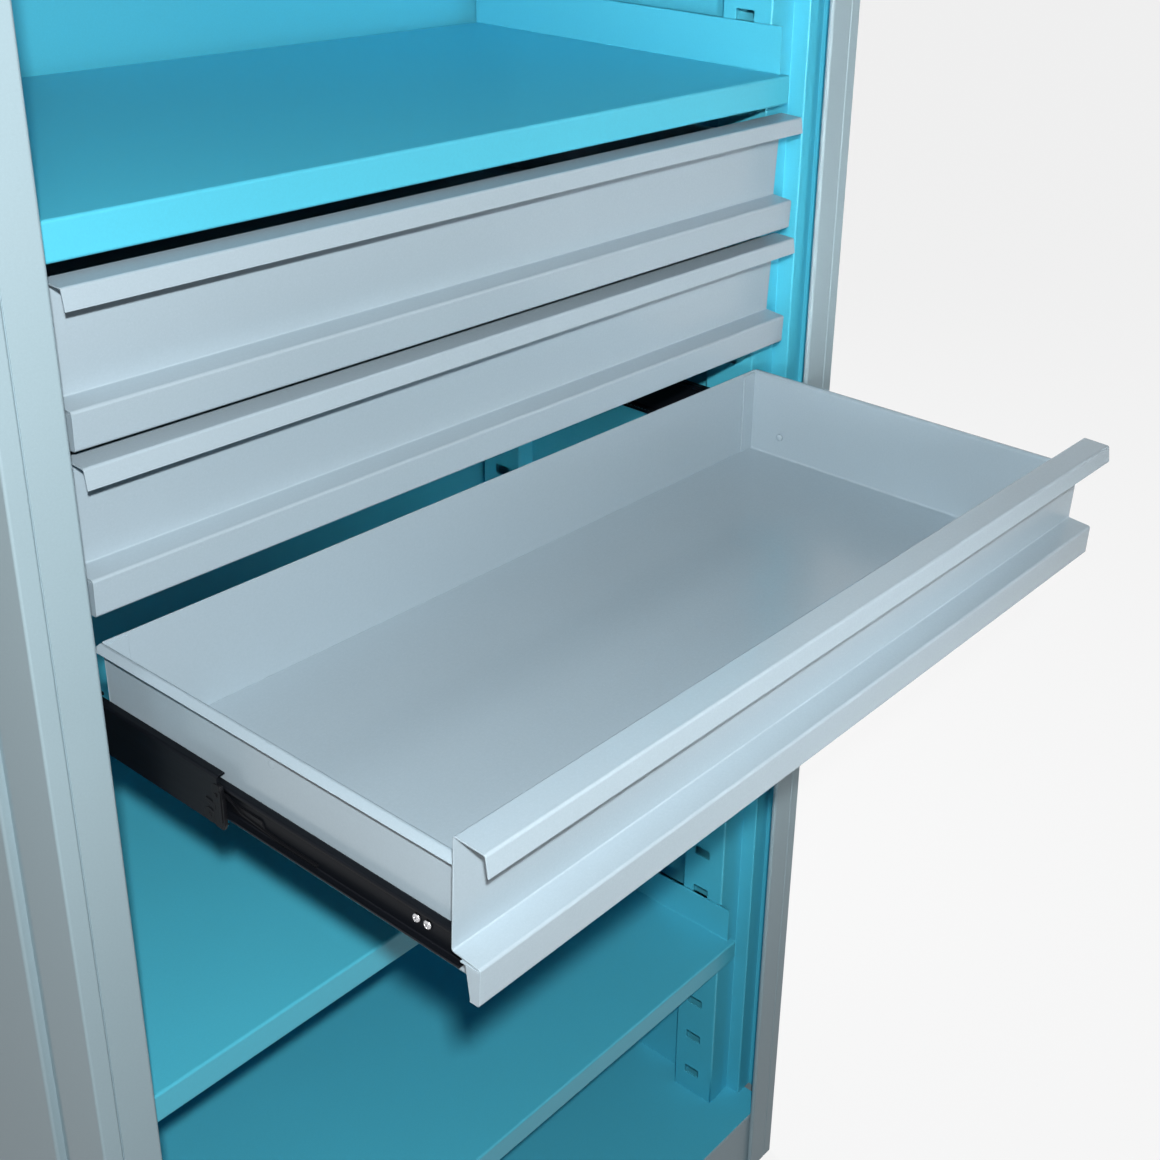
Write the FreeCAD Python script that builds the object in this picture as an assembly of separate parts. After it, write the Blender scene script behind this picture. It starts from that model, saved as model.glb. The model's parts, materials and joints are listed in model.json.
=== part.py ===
"""Open-fronted steel tool cabinet with shelves and three drawers on ball-bearing slides.

The carcass is folded sheet steel: grey cladding and stiles outside, a blue lined body inside with
four slotted uprights that carry the shelves and the slides. Every drawer is a welded box with a
folded front whose top lip is its pull, and the lowest drawer stands open.

Units are millimetres. X runs to the right, Y runs from the front to the back, Z is up. The origin
is on the floor at the middle of the carcass.
"""
import FreeCAD
import Part

import math
import os

Vector = FreeCAD.Vector

# Carcass
CABINET_WIDTH = 950.0
CABINET_DEPTH = 500.0
CABINET_HEIGHT = 1950.0
CLADDING = 1.2                  # sheet of the grey outer skin, posts and rails
LINING = 1.2                    # sheet of the blue inner body
BEND = 1.5                      # inside radius of a fold in the cladding and lining
TIGHT_BEND = 0.8                # inside radius of a sharp fold
MITRE = 0.0                     # hidden folds and those of small profiles are drawn sharp

SHORTEST_EDGE = 0.001

# Front stiles and corner posts
STILE_WIDTH = 48.5
STRIP_WIDTH = 32.0              # rolled strip along the opening
STRIP_ROLL = 6.4                # thickness of the rolled edge, front to back
STRIP_LEAF = 24.0               # leaf of the rolled edge that lies behind the stile
STRIP_SEAM = 1.6                # groove between the strip and the corner post
POST_LAP = 27.0                 # flange of the post behind the strip
POST_SIDE = 56.0                # depth of the post along the cabinet's side
GROOVE_WIDTH = 20.0             # upright groove between the post and the side panel
GROOVE_DEPTH = 8.0
POST_TAIL = 46.0                # flange of the post behind the side panel
REAR_RETURN = 20.0

# Rails, plinth, roof and floor
TOP_RAIL_HEIGHT = 70.0
PLINTH_HEIGHT = 96.0
RAIL_RETURN = 18.0
RAIL_OVERLAP = 25.0             # how far a rail runs behind each stile
BASE_RAIL_WIDTH = 70.0
BASE_RAIL_LIP = 16.0
ROOF_FLANGE = 25.0
FLOOR_FLANGE = 20.0
FLOOR_SIDE_GAP = 1.8            # between the floor panel and the posts' tail flanges

# Inner frame behind the stiles
REBATE_DEPTH = 42.0             # from the stile's face to the frame's face
FRAME_WIDTH = 25.8              # face of the frame beside the opening
FRAME_RETURN = 20.0             # from the frame's face back to its mounting flange
FRAME_FLANGE = 32.0
FRAME_LIP = 14.6                # flange against the corner post
HEADER_RISE = 8.0               # header above the lower edge of the top rail
HEADER_TAIL = 17.0
CEILING_RISE = 12.0             # inner ceiling above the header
CEILING_FLANGE = 15.0
LINING_RETURN = 12.0

# Slotted uprights
UPRIGHT_SHEET = 1.5
UPRIGHT_DEPTH = 62.5
UPRIGHT_FLANGE = 25.5
REAR_UPRIGHT_GAP = 19.0         # between the rear uprights and the back panel
SLOT_LENGTH = 23.0
SLOT_HEIGHT = 12.5
SLOT_SETBACK = 34.0             # centre of the slots from the upright's outer corner
SLOT_PITCH = 61.0
FIRST_SLOT = 133.2              # centre of the lowest slot above the floor
SLOT_MARGIN = 30.0              # sheet left above the highest slot

# Shelves
SHELF_SHEET = 1.2
SHELF_UPSTAND = 47.0
SHELF_NOSE = 29.0
SHELF_NOSE_RETURN = 12.0
SHELF_SIDE_GAP = 1.0            # between a shelf's upstand and the upright
SHELF_NOSE_OVERHANG = 5.0       # nose beyond the upstand at each end
SHELF_NOSE_REACH = 8.5          # nose in front of the upstand
SHELF_PROUD = 4.5               # nose in front of the inner frame's face
SHELF_REAR_GAP = 20.0
HOOK_WIDTH = 18.5
HOOK_DROP = 11.0
HOOK_CLEARANCE = 1.8            # between a hook's tongue and the back of the upright
SHELF_SLOTS = {"shelf_bottom": 5, "shelf_middle": 11, "shelf_top": 23}

# Drawer fronts
DRAWER_SHEET = 1.2
DRAWER_BEND = 1.2
SIDE_GAP = 16.5                 # between a drawer front's end and the stile
FACE_SETBACK = 44.9             # from the stile's face to the back of a closed front's top edge
DRAWER_PITCH = 125.0
DRAWER_HEADROOM = 9.0           # between the top shelf's nose and the first drawer
TOP_FLANGE = 26.9
TOP_FLANGE_FALL = 1.0
LIP_DROP = 16.7
LIP_KICK = 2.3
FACE_HEIGHT = 84.8
FACE_LEAN = 3.8
LEDGE_DEPTH = 24.4
LEDGE_FALL = 2.4
SKIRT_HEIGHT = 29.3
SKIRT_TUCK = 1.1
SKIRT_RETURN = 12.0
TAB_TOP = 11.5
TAB_BOTTOM = 8.0
TAB_GAP = 2.0                   # end tab below the ledge
TAB_FLANGE = 8.0                # flange folded inward along the tab's top
TAB_REACH = 15.7                # depth of that flange behind the skirt

# Drawer boxes
FRONT_LAP = 2.0                 # front beyond the uprights at each end
BOX_DROP = 25.5                 # box's rim below the front's top
BOX_HEIGHT = 92.2
BOX_SHORTER = 23.0              # box shorter than its slides
BOX_FLANGE = 8.5                # reach of the flange along the rim of a side wall
FLANGE_FALL = 4.0               # fall of that flange towards its outer edge
BOX_TAB = 19.0

# Ball-bearing slides
SLIDE_SHORTER = 100.0           # slides shorter than the cabinet is deep
SLIDE_SETBACK = 6.6             # slide's front end behind the drawer's face
SLIDE_DROP = 93.5               # slide's centre line below the front's top
SLIDE_THICKNESS = 12.7
RAIL_SHEET = 1.4
RAIL_HEIGHT = 53.4
RAIL_DEPTH = 11.0
RAIL_LIP = 3.8
MIDDLE_SHEET = 1.2
MIDDLE_HEIGHT = 43.4
MIDDLE_OFFSET = 2.9             # outside of its web from the upright
MIDDLE_DEPTH = 7.1
MIDDLE_SHARE = 0.4              # share of the drawer's travel that the middle member makes
RUNNER_SHEET = 1.2
RUNNER_HEIGHT = 27.0
RUNNER_DEPTH = 7.1
RUNNER_SHORTER = 28.0           # runner shorter than the slide
CAP_LENGTH = 12.0
CAP_FRONT = 6.0                 # cap in front of the middle member
CAP_SKIN = 0.9
CAP_CORNER = 3.0
CAP_FOOT = 2.5                  # latch foot below the cap
CAP_FOOT_END = 9.0              # rear end of the foot
BALL_PLAY = 0.4                 # between a ball and the race of the member that moves past it
OUTER_BALLS = 3                 # balls in each outer cage
INNER_BALLS = 2                 # balls in each inner cage
BALL_SIDES = 6                  # balls are drawn faceted, with this many sides
CAGE_SHEET = 0.8
OUTER_CAGE_WIDTH = 5.2
OUTER_CAGE_LENGTH = 150.0
OUTER_CAGE_END = 22.0           # from the rear end of the middle member
INNER_CAGE_WIDTH = 6.4
INNER_CAGE_LEVEL = 0.6          # cage below the balls' centres, as a share of their radius
INNER_CAGE_LENGTH = 110.0
INNER_CAGE_END = 14.0           # from the front end of the middle member

# The lowest drawer stands open
OPEN_SHORT = 26.6               # travel left before it is open by the length of its slides

half_width = CABINET_WIDTH / 2
front_y = -CABINET_DEPTH / 2
back_y = CABINET_DEPTH / 2
skin_x = half_width - CLADDING
roof_under = CABINET_HEIGHT - CLADDING

opening_x = half_width - STILE_WIDTH
strip_end_x = opening_x + STRIP_WIDTH
roll_back_y = front_y + STRIP_ROLL
groove_y = front_y + POST_SIDE
side_panel_y = groove_y + GROOVE_WIDTH
tail_x = half_width - GROOVE_DEPTH
rail_back_y = roll_back_y + CLADDING
rail_x = opening_x + RAIL_OVERLAP
top_rail_z = CABINET_HEIGHT - TOP_RAIL_HEIGHT
floor_top = PLINTH_HEIGHT + LINING
floor_x = tail_x - CLADDING - FLOOR_SIDE_GAP

back_panel_y = back_y - CLADDING
lining_rear_y = back_panel_y - LINING
frame_y = front_y + REBATE_DEPTH
frame_x = skin_x - FRAME_WIDTH
frame_flange_y = frame_y + FRAME_RETURN
lining_front_y = frame_flange_y + LINING
header_z = top_rail_z + HEADER_RISE
ceiling_z = header_z + CEILING_RISE

front_x = opening_x - SIDE_GAP
upright_x = front_x - FRONT_LAP
upright_y = frame_flange_y - UPRIGHT_SHEET
lining_x = upright_x + UPRIGHT_FLANGE + LINING
rear_upright_y = lining_rear_y - REAR_UPRIGHT_GAP

box_x = upright_x - SLIDE_THICKNESS
face_y = front_y + FACE_SETBACK
slide_y = face_y + SLIDE_SETBACK
slide_length = CABINET_DEPTH - SLIDE_SHORTER
box_depth = slide_length - BOX_SHORTER
drawer_open = (0.0, 0.0, slide_length - OPEN_SHORT)
shelf_y = frame_y - SHELF_PROUD

AXES = {
    "yz": (lambda a, b: Vector(0, a, b), Vector(1, 0, 0)),
    "xz": (lambda a, b: Vector(a, 0, b), Vector(0, 1, 0)),
    "xy": (lambda a, b: Vector(a, b, 0), Vector(0, 0, 1)),
}


def unit(start, end):
    length = math.dist(start, end)
    return (end[0] - start[0]) / length, (end[1] - start[1]) / length


def folded_side(path, offset, sheet, radius):
    """Lines and arcs of one face of a folded sheet, as lists of two or three points."""
    pieces = []
    ahead = unit(path[0], path[1])
    last = (path[0][0] - ahead[1] * offset, path[0][1] + ahead[0] * offset)
    for before, corner, after in zip(path, path[1:], path[2:]):
        come, go = unit(before, corner), unit(corner, after)
        cross = come[0] * go[1] - come[1] * go[0]
        along = come[0] * go[0] + come[1] * go[1]
        if not radius:
            reach = offset / (1 + along)
            point = (corner[0] - (come[1] + go[1]) * reach, corner[1] + (come[0] + go[0]) * reach)
            pieces.append([last, point])
            last = point
            continue
        turn = math.atan2(cross, along)
        side = math.copysign(1.0, turn)
        half_tan = math.tan(abs(turn) / 2)
        room = 0.49 * min(math.dist(before, corner), math.dist(corner, after)) / half_tan
        middle = min(radius + sheet / 2, room)
        run = middle * half_tan
        start = (corner[0] - come[0] * run, corner[1] - come[1] * run)
        centre = (start[0] - come[1] * middle * side, start[1] + come[0] * middle * side)
        reach = middle - side * offset
        lean = [(come[1] + go[1]) * side, -(come[0] + go[0]) * side]
        size = math.hypot(*lean)
        bow = (centre[0] + lean[0] / size * reach, centre[1] + lean[1] / size * reach)
        first = (centre[0] + come[1] * side * reach, centre[1] - come[0] * side * reach)
        final = (centre[0] + go[1] * side * reach, centre[1] - go[0] * side * reach)
        pieces.append([last, first])
        pieces.append([first, bow, final])
        last = final
    ahead = unit(path[-2], path[-1])
    pieces.append([last, (path[-1][0] - ahead[1] * offset, path[-1][1] + ahead[0] * offset)])
    return pieces


def folded_sheet(plane, path, low, high, sheet=CLADDING, radius=BEND):
    """A folded sheet: the path of its middle layer, run from low to high along the third axis."""
    place, axis = AXES[plane]
    near = folded_side(path, sheet / 2, sheet, radius)
    far = [piece[::-1] for piece in folded_side(path, -sheet / 2, sheet, radius)][::-1]
    outline = near + [[near[-1][-1], far[0][0]]] + far + [[far[-1][-1], near[0][0]]]
    edges = []
    for piece in outline:
        points = [place(*point) for point in piece]
        if len(points) == 3:
            edges.append(Part.Arc(*points).toShape())
        elif points[0].distanceToPoint(points[1]) > SHORTEST_EDGE:
            edges.append(Part.LineSegment(*points).toShape())
    face = Part.Face(Part.Wire(edges))
    face.translate(axis * low)
    return face.extrude(axis * (high - low))


def plate(plane, corners, low, high):
    """A flat plate with the given corners, run from low to high along the third axis."""
    place, axis = AXES[plane]
    points = [place(*corner) for corner in corners]
    face = Part.Face(Part.makePolygon(points + points[:1]))
    face.translate(axis * low)
    return face.extrude(axis * (high - low))


def block(x, y, z):
    """A box between the two values of each axis."""
    low = Vector(min(x), min(y), min(z))
    high = Vector(max(x), max(y), max(z))
    size = high - low
    return Part.makeBox(size.x, size.y, size.z, low)


def mirrored(shape):
    return shape.mirror(Vector(0, 0, 0), Vector(1, 0, 0))


def fused(shapes):
    whole = shapes[0].multiFuse(shapes[1:])
    return whole.removeSplitter()


def moved(shape, x=0.0, y=0.0, z=0.0):
    copy = shape.copy()
    copy.translate(Vector(x, y, z))
    return copy


# Outer skin

def side_panel():
    x = half_width - CLADDING / 2
    front = side_panel_y + CLADDING / 2
    rear = back_y - CLADDING / 2
    path = [(tail_x, front), (x, front), (x, rear), (half_width - REAR_RETURN, rear)]
    return folded_sheet("xy", path, 0, roof_under)


def front_post():
    """Corner post: lapped behind the strip, round the front corner, and stepped in for a groove."""
    x = half_width - CLADDING / 2
    face = front_y + CLADDING / 2
    lap = face + CLADDING
    tail = tail_x - CLADDING / 2
    step = groove_y - CLADDING / 2
    joggle = strip_end_x + STRIP_SEAM / 2
    path = [(strip_end_x - POST_LAP, lap), (joggle, lap), (joggle + CLADDING, face), (x, face),
            (x, step), (tail, step), (tail, step + POST_TAIL)]
    return folded_sheet("xy", path, 0, roof_under, radius=TIGHT_BEND)


def stile_strip():
    """Strip along the opening, rolled back on itself for a round safe edge."""
    face = front_y + CLADDING / 2
    leaf = roll_back_y - CLADDING / 2
    edge = opening_x + CLADDING / 2
    path = [(strip_end_x, face), (edge, face), (edge, leaf), (edge + STRIP_LEAF, leaf)]
    return folded_sheet("xy", path, 0, roof_under, radius=STRIP_ROLL)


def rail(low, high):
    """Folded front rail behind the stiles, open to the back."""
    face = roll_back_y + CLADDING / 2
    inner = face + RAIL_RETURN
    bottom, top = low + CLADDING / 2, high - CLADDING / 2
    path = [(inner, bottom), (face, bottom), (face, top), (inner, top)]
    return folded_sheet("yz", path, -rail_x, rail_x)


def rear_plinth():
    face = lining_rear_y - CLADDING / 2
    inner = face - RAIL_RETURN
    bottom, top = CLADDING / 2, PLINTH_HEIGHT - CLADDING / 2
    path = [(inner, bottom), (face, bottom), (face, top), (inner, top)]
    return folded_sheet("yz", path, -rail_x, rail_x, radius=MITRE)


def base_rail():
    """Channel on the floor under the middle of the floor panel."""
    wall = BASE_RAIL_WIDTH / 2 - CLADDING / 2
    lip = wall + BASE_RAIL_LIP
    bottom, top = CLADDING / 2, PLINTH_HEIGHT - CLADDING / 2
    path = [(-lip, top), (-wall, top), (-wall, bottom), (wall, bottom), (wall, top), (lip, top)]
    return folded_sheet("yz", path, -rail_x, rail_x, radius=MITRE)


def roof_panel():
    top = block((-half_width, half_width), (front_y, back_y), (roof_under, CABINET_HEIGHT))
    rear = back_panel_y - LINING
    outer = block((-skin_x, skin_x), (groove_y, rear), (roof_under - ROOF_FLANGE, roof_under))
    inner = block((CLADDING - skin_x, skin_x - CLADDING), (front_y, rear - CLADDING),
                  (roof_under - ROOF_FLANGE, roof_under))
    post_tails = block((-half_width, half_width), (groove_y, groove_y + POST_TAIL),
                       (roof_under - ROOF_FLANGE, roof_under))
    return fused([top, outer.cut(inner).cut(post_tails)])


def back_panel():
    side = skin_x - BEND
    return block((-side, side), (lining_rear_y, back_panel_y), (0, roof_under))


def floor_panel():
    side = floor_x - LINING / 2
    top = floor_top - LINING / 2
    path = [(-side, top - FLOOR_FLANGE), (-side, top), (side, top), (side, top - FLOOR_FLANGE)]
    return folded_sheet("xz", path, rail_back_y, lining_rear_y, LINING, MITRE)


# Blue inner body

def inner_frame():
    """Welded frame behind the stiles: two stepped posts and a header."""
    half = LINING / 2
    post = [(skin_x - half, frame_y - FRAME_LIP), (skin_x - half, frame_y + half),
            (frame_x + half, frame_y + half), (frame_x + half, frame_flange_y + half),
            (frame_x - FRAME_FLANGE, frame_flange_y + half)]
    right = folded_sheet("xy", post, floor_top, roof_under, LINING, MITRE)
    header = [(frame_y + half, roof_under), (frame_y + half, header_z + half),
              (frame_flange_y + half, header_z + half),
              (frame_flange_y + half, header_z + HEADER_TAIL)]
    across = folded_sheet("yz", header, -frame_x - half, frame_x + half, LINING, MITRE)
    return fused([right, mirrored(right), across])


def side_lining():
    x = lining_x - LINING / 2
    front, rear = lining_front_y + LINING / 2, lining_rear_y - LINING / 2
    path = [(x + LINING_RETURN, front), (x, front), (x, rear), (x + LINING_RETURN, rear)]
    return folded_sheet("xy", path, floor_top, roof_under - ROOF_FLANGE, LINING, MITRE)


def rear_lining():
    side = lining_x - LINING
    return block((-side, side), (lining_rear_y - LINING, lining_rear_y), (floor_top, ceiling_z))


def ceiling_lining():
    side = lining_x - LINING * 1.5
    level = ceiling_z + LINING / 2
    path = [(-side, level + CEILING_FLANGE), (-side, level), (side, level),
            (side, level + CEILING_FLANGE)]
    return folded_sheet("xz", path, lining_front_y, lining_rear_y, LINING, MITRE)


def slot_heights():
    heights = []
    z = FIRST_SLOT
    while z < header_z - SLOT_MARGIN:
        heights.append(z)
        z += SLOT_PITCH
    return heights


def upright_corner(end):
    """Y of the outer corner of the front or the rear upright, and the way its face runs."""
    return (upright_y, 1) if end == "front" else (rear_upright_y, -1)


def upright(end):
    corner, way = upright_corner(end)
    half = UPRIGHT_SHEET / 2
    x = upright_x + half
    outer, inner = corner + way * half, corner + way * (UPRIGHT_DEPTH - half)
    reach = upright_x + UPRIGHT_FLANGE
    path = [(reach, outer), (x, outer), (x, inner), (reach, inner)]
    body = folded_sheet("xy", path, floor_top, header_z, UPRIGHT_SHEET, MITRE)
    middle = corner + way * SLOT_SETBACK
    span = (upright_x - UPRIGHT_SHEET, upright_x + 2 * UPRIGHT_SHEET)
    cutters = [block(span, (middle - SLOT_LENGTH / 2, middle + SLOT_LENGTH / 2),
                     (z - SLOT_HEIGHT / 2, z + SLOT_HEIGHT / 2)) for z in slot_heights()]
    return body.cut(Part.makeCompound(cutters))


def shelf_height(slot):
    """Top of the shelf whose hooks rest on the lower edge of this slot."""
    return FIRST_SLOT + slot * SLOT_PITCH - SLOT_HEIGHT / 2 - SHELF_UPSTAND + SHELF_SHEET


def shelf(slot):
    """Tray with upturned sides, folded noses front and rear, and hooks in the uprights' slots."""
    top = shelf_height(slot)
    half = SHELF_SHEET / 2
    side = upright_x - SHELF_SIDE_GAP - half
    front, rear = shelf_y + SHELF_NOSE_REACH, lining_rear_y - SHELF_REAR_GAP
    tray = [(-side, top + SHELF_UPSTAND), (-side, top - half), (side, top - half),
            (side, top + SHELF_UPSTAND)]
    body = folded_sheet("xz", tray, front, rear, SHELF_SHEET)
    low = top - SHELF_NOSE + half
    face = shelf_y + half
    nose = [(face + SHELF_NOSE_RETURN, low), (face, low), (face, top - half),
            (front + SHELF_NOSE_REACH, top - half)]
    reach = side + half + SHELF_NOSE_OVERHANG
    full = folded_sheet("yz", nose, -reach, reach, SHELF_SHEET)
    beside = block((side - BEND, reach), (front, front + SHELF_NOSE_REACH), (top - SHELF_SHEET, top))
    full = full.cut(beside).cut(mirrored(beside))
    back = rear + half
    tail = [(rear - SHELF_NOSE_REACH, top - half), (back, top - half), (back, low)]
    width = side - half - BEND
    parts = [body, full, folded_sheet("yz", tail, -width, width, SHELF_SHEET, MITRE)]
    tongue = upright_x + UPRIGHT_SHEET + HOOK_CLEARANCE + half
    level = top + SHELF_UPSTAND - half
    hook = [(side - half, level), (tongue, level), (tongue, level - HOOK_DROP)]
    for end in ("front", "rear"):
        corner, way = upright_corner(end)
        middle = corner + way * SLOT_SETBACK
        low, high = middle - HOOK_WIDTH / 2, middle + HOOK_WIDTH / 2
        one = folded_sheet("xz", hook, low, high, SHELF_SHEET, MITRE)
        parts += [one, mirrored(one)]
    return fused(parts)


# Drawers

def drawer_top(number):
    first = shelf_height(SHELF_SLOTS["shelf_top"]) - SHELF_NOSE - DRAWER_HEADROOM
    return first - number * DRAWER_PITCH


def slide_z(number):
    return drawer_top(number) - SLIDE_DROP


def drawer_front():
    """Folded front: lip, top flange, leaning face, ledge, skirt and return, open at both ends."""
    half = DRAWER_SHEET / 2
    skirt_y = DRAWER_SHEET + FACE_LEAN - LEDGE_DEPTH
    ledge_z = -FACE_HEIGHT - LEDGE_FALL
    path = [
        (-TOP_FLANGE - LIP_KICK + half, -LIP_DROP),
        (-TOP_FLANGE + half, -TOP_FLANGE_FALL - half),
        (-half, -half),
        (FACE_LEAN - half, -FACE_HEIGHT - half),
        (skirt_y - half, ledge_z - half),
        (skirt_y - half + SKIRT_TUCK, ledge_z - SKIRT_HEIGHT + half),
        (skirt_y - half + SKIRT_RETURN, ledge_z - SKIRT_HEIGHT + half),
    ]
    sheet = folded_sheet("yz", path, -front_x, front_x, DRAWER_SHEET, DRAWER_BEND)
    tab_top = ledge_z - TAB_GAP
    tab_low = ledge_z - SKIRT_HEIGHT + DRAWER_SHEET
    tab = plate("yz", [(skirt_y, tab_top), (skirt_y + TAB_TOP, tab_top),
                       (skirt_y + TAB_BOTTOM, tab_low), (skirt_y + SKIRT_TUCK, tab_low)],
                front_x - DRAWER_SHEET, front_x)
    flange = block((front_x - TAB_FLANGE, front_x), (skirt_y, skirt_y + TAB_REACH),
                   (tab_top - DRAWER_SHEET, tab_top))
    end = fused([tab, flange])
    return fused([sheet, end, mirrored(end)])


def drawer_box():
    """Welded box: floor and sides with flanged rims, a back wall over tabs, and a leaning front."""
    half = DRAWER_SHEET / 2
    side = box_x - half
    rim = -BOX_DROP - half
    low = -BOX_DROP - BOX_HEIGHT
    back = box_depth - DRAWER_SHEET
    edge = rim - FLANGE_FALL
    trough = [(-box_x - BOX_FLANGE, edge), (-side, rim), (-side, low + half), (side, low + half),
              (side, rim), (box_x + BOX_FLANGE, edge)]
    body = folded_sheet("xz", trough, 0, back, DRAWER_SHEET, DRAWER_BEND)
    slope = FACE_LEAN / FACE_HEIGHT
    high_y, low_y = slope * BOX_DROP, -slope * low
    outside = plate("yz", [(0, -BOX_DROP), (high_y, -BOX_DROP), (low_y, low), (0, low)],
                    -box_x - BOX_FLANGE, box_x + BOX_FLANGE)
    wall = plate("yz", [(high_y, -BOX_DROP), (high_y + DRAWER_SHEET, -BOX_DROP),
                        (low_y + DRAWER_SHEET, low), (low_y, low)], half - side, side - half)
    rear = block((-box_x, box_x), (back, box_depth), (low, -BOX_DROP))
    tab = block((side - BOX_TAB, side), (back - DRAWER_SHEET, back),
                (low + half, rim - DRAWER_BEND))
    return fused([body.cut(outside), wall, rear, tab, mirrored(tab)])


# Slides, for the right side of the cabinet: depth is measured inward from the upright's face

def slide_profile(points, low, high, sheet):
    path = [(upright_x - depth, z) for depth, z in points]
    return folded_sheet("xz", path, low, high, sheet, MITRE)


def slide_rail():
    """Fixed member: a channel with turned-in lips that hold the outer balls."""
    half = RAIL_SHEET / 2
    high = RAIL_HEIGHT / 2 - half
    lip = RAIL_HEIGHT / 2 - RAIL_LIP
    points = [(RAIL_DEPTH - half, lip), (RAIL_DEPTH - half, high), (half, high),
              (half, -high), (RAIL_DEPTH - half, -high), (RAIL_DEPTH - half, -lip)]
    return slide_profile(points, 0, slide_length, RAIL_SHEET)


def slide_middle():
    """Middle member: a channel between the two rows of balls."""
    half = MIDDLE_SHEET / 2
    high = MIDDLE_HEIGHT / 2 - half
    near, far = MIDDLE_OFFSET + half, MIDDLE_OFFSET + MIDDLE_DEPTH
    points = [(far, high), (near, high), (near, -high), (far, -high)]
    return slide_profile(points, CAP_FRONT, slide_length, MIDDLE_SHEET)


def slide_runner():
    """Moving member riveted to the drawer box, open towards the upright."""
    half = RUNNER_SHEET / 2
    high = RUNNER_HEIGHT / 2 - half
    near, far = SLIDE_THICKNESS - RUNNER_DEPTH, SLIDE_THICKNESS - half
    points = [(near, high), (far, high), (far, -high), (near, -high)]
    return slide_profile(points, 0, slide_length - RUNNER_SHORTER, RUNNER_SHEET)


def slide_cap():
    """Moulded stop over the front end of the middle member's web, with a latch foot below."""
    near, far = MIDDLE_OFFSET - CAP_SKIN, MIDDLE_OFFSET + MIDDLE_SHEET + CAP_SKIN
    high = MIDDLE_HEIGHT / 2
    foot = -high - CAP_FOOT
    outline = [(0, high - CAP_CORNER), (CAP_CORNER, high), (CAP_LENGTH, high), (CAP_LENGTH, -high),
               (CAP_FOOT_END, foot), (CAP_CORNER, foot), (0, foot + CAP_CORNER)]
    outer = plate("yz", outline, upright_x - far, upright_x - near)
    return outer.cut(slide_middle())


def ball(radius, place):
    """A faceted ball: rings of a regular polygon round X."""
    rings = []
    for lean in (-45, 0, 45):
        level = radius * math.sin(math.radians(lean))
        size = radius * math.cos(math.radians(lean))
        turns = [2 * math.pi * i / BALL_SIDES for i in range(BALL_SIDES)]
        ring = [place + Vector(level, size * math.sin(turn), size * math.cos(turn)) for turn in turns]
        rings.append(Part.makePolygon(ring + ring[:1]))
    return Part.makeLoft(rings, True, True)


def ball_row(depth, z, radius, span, width, count, level=0.0):
    """A cage strip with its balls, at one height of one race."""
    x = upright_x - depth
    low, high = span
    strip_z = z + level
    strip = block((x - width / 2, x + width / 2), span,
                  (strip_z - CAGE_SHEET / 2, strip_z + CAGE_SHEET / 2))
    step = (high - low) / count
    balls = [ball(radius, Vector(x, low + step * (i + 0.5), z)) for i in range(count)]
    return [strip.cut(Part.makeCompound(balls))] + balls


def ball_rows():
    """The four cages of one slide: outer and inner race, above and below."""
    race = MIDDLE_HEIGHT / 2
    outer_gap = RAIL_HEIGHT / 2 - RAIL_SHEET - race
    outer_radius = (outer_gap - BALL_PLAY) / 2
    inner_gap = race - MIDDLE_SHEET - RUNNER_HEIGHT / 2
    inner_radius = (inner_gap - BALL_PLAY) / 2
    outer_depth = MIDDLE_OFFSET + MIDDLE_DEPTH / 2 + BALL_PLAY / 2
    inner_depth = MIDDLE_OFFSET + MIDDLE_SHEET + BALL_PLAY / 2 + inner_radius
    outer_end = slide_length - OUTER_CAGE_END
    outer_span = (outer_end - OUTER_CAGE_LENGTH, outer_end)
    inner_start = CAP_FRONT + INNER_CAGE_END
    inner_span = (inner_start, inner_start + INNER_CAGE_LENGTH)
    rows = []
    for way in (1, -1):
        outer_z = way * (race + outer_radius)
        inner_z = way * (race - MIDDLE_SHEET - inner_radius)
        rows += ball_row(outer_depth, outer_z, outer_radius, outer_span, OUTER_CAGE_WIDTH, OUTER_BALLS)
        rows += ball_row(inner_depth, inner_z, inner_radius, inner_span, INNER_CAGE_WIDTH, INNER_BALLS,
                         -way * INNER_CAGE_LEVEL * inner_radius)
    return rows


def both_sides(shapes):
    return Part.makeCompound(shapes + [mirrored(one) for one in shapes])


def carcass():
    pieces = {
        "top_rail": rail(top_rail_z, roof_under),
        "plinth_front": rail(0, PLINTH_HEIGHT),
        "plinth_rear": rear_plinth(),
        "base_rail": base_rail(),
        "roof_panel": roof_panel(),
        "back_panel": back_panel(),
        "floor_panel": floor_panel(),
        "inner_frame": inner_frame(),
        "ceiling_lining": ceiling_lining(),
        "rear_lining": rear_lining(),
    }
    pairs = {
        "side_panel": side_panel(),
        "front_post": front_post(),
        "stile_strip": stile_strip(),
        "side_lining": side_lining(),
        "front_upright": upright("front"),
        "rear_upright": upright("rear"),
    }
    for name, shape in pairs.items():
        pieces[name + "_right"] = shape
        pieces[name + "_left"] = mirrored(shape)
    for name, slot in SHELF_SLOTS.items():
        pieces[name] = shelf(slot)
    return pieces


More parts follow.
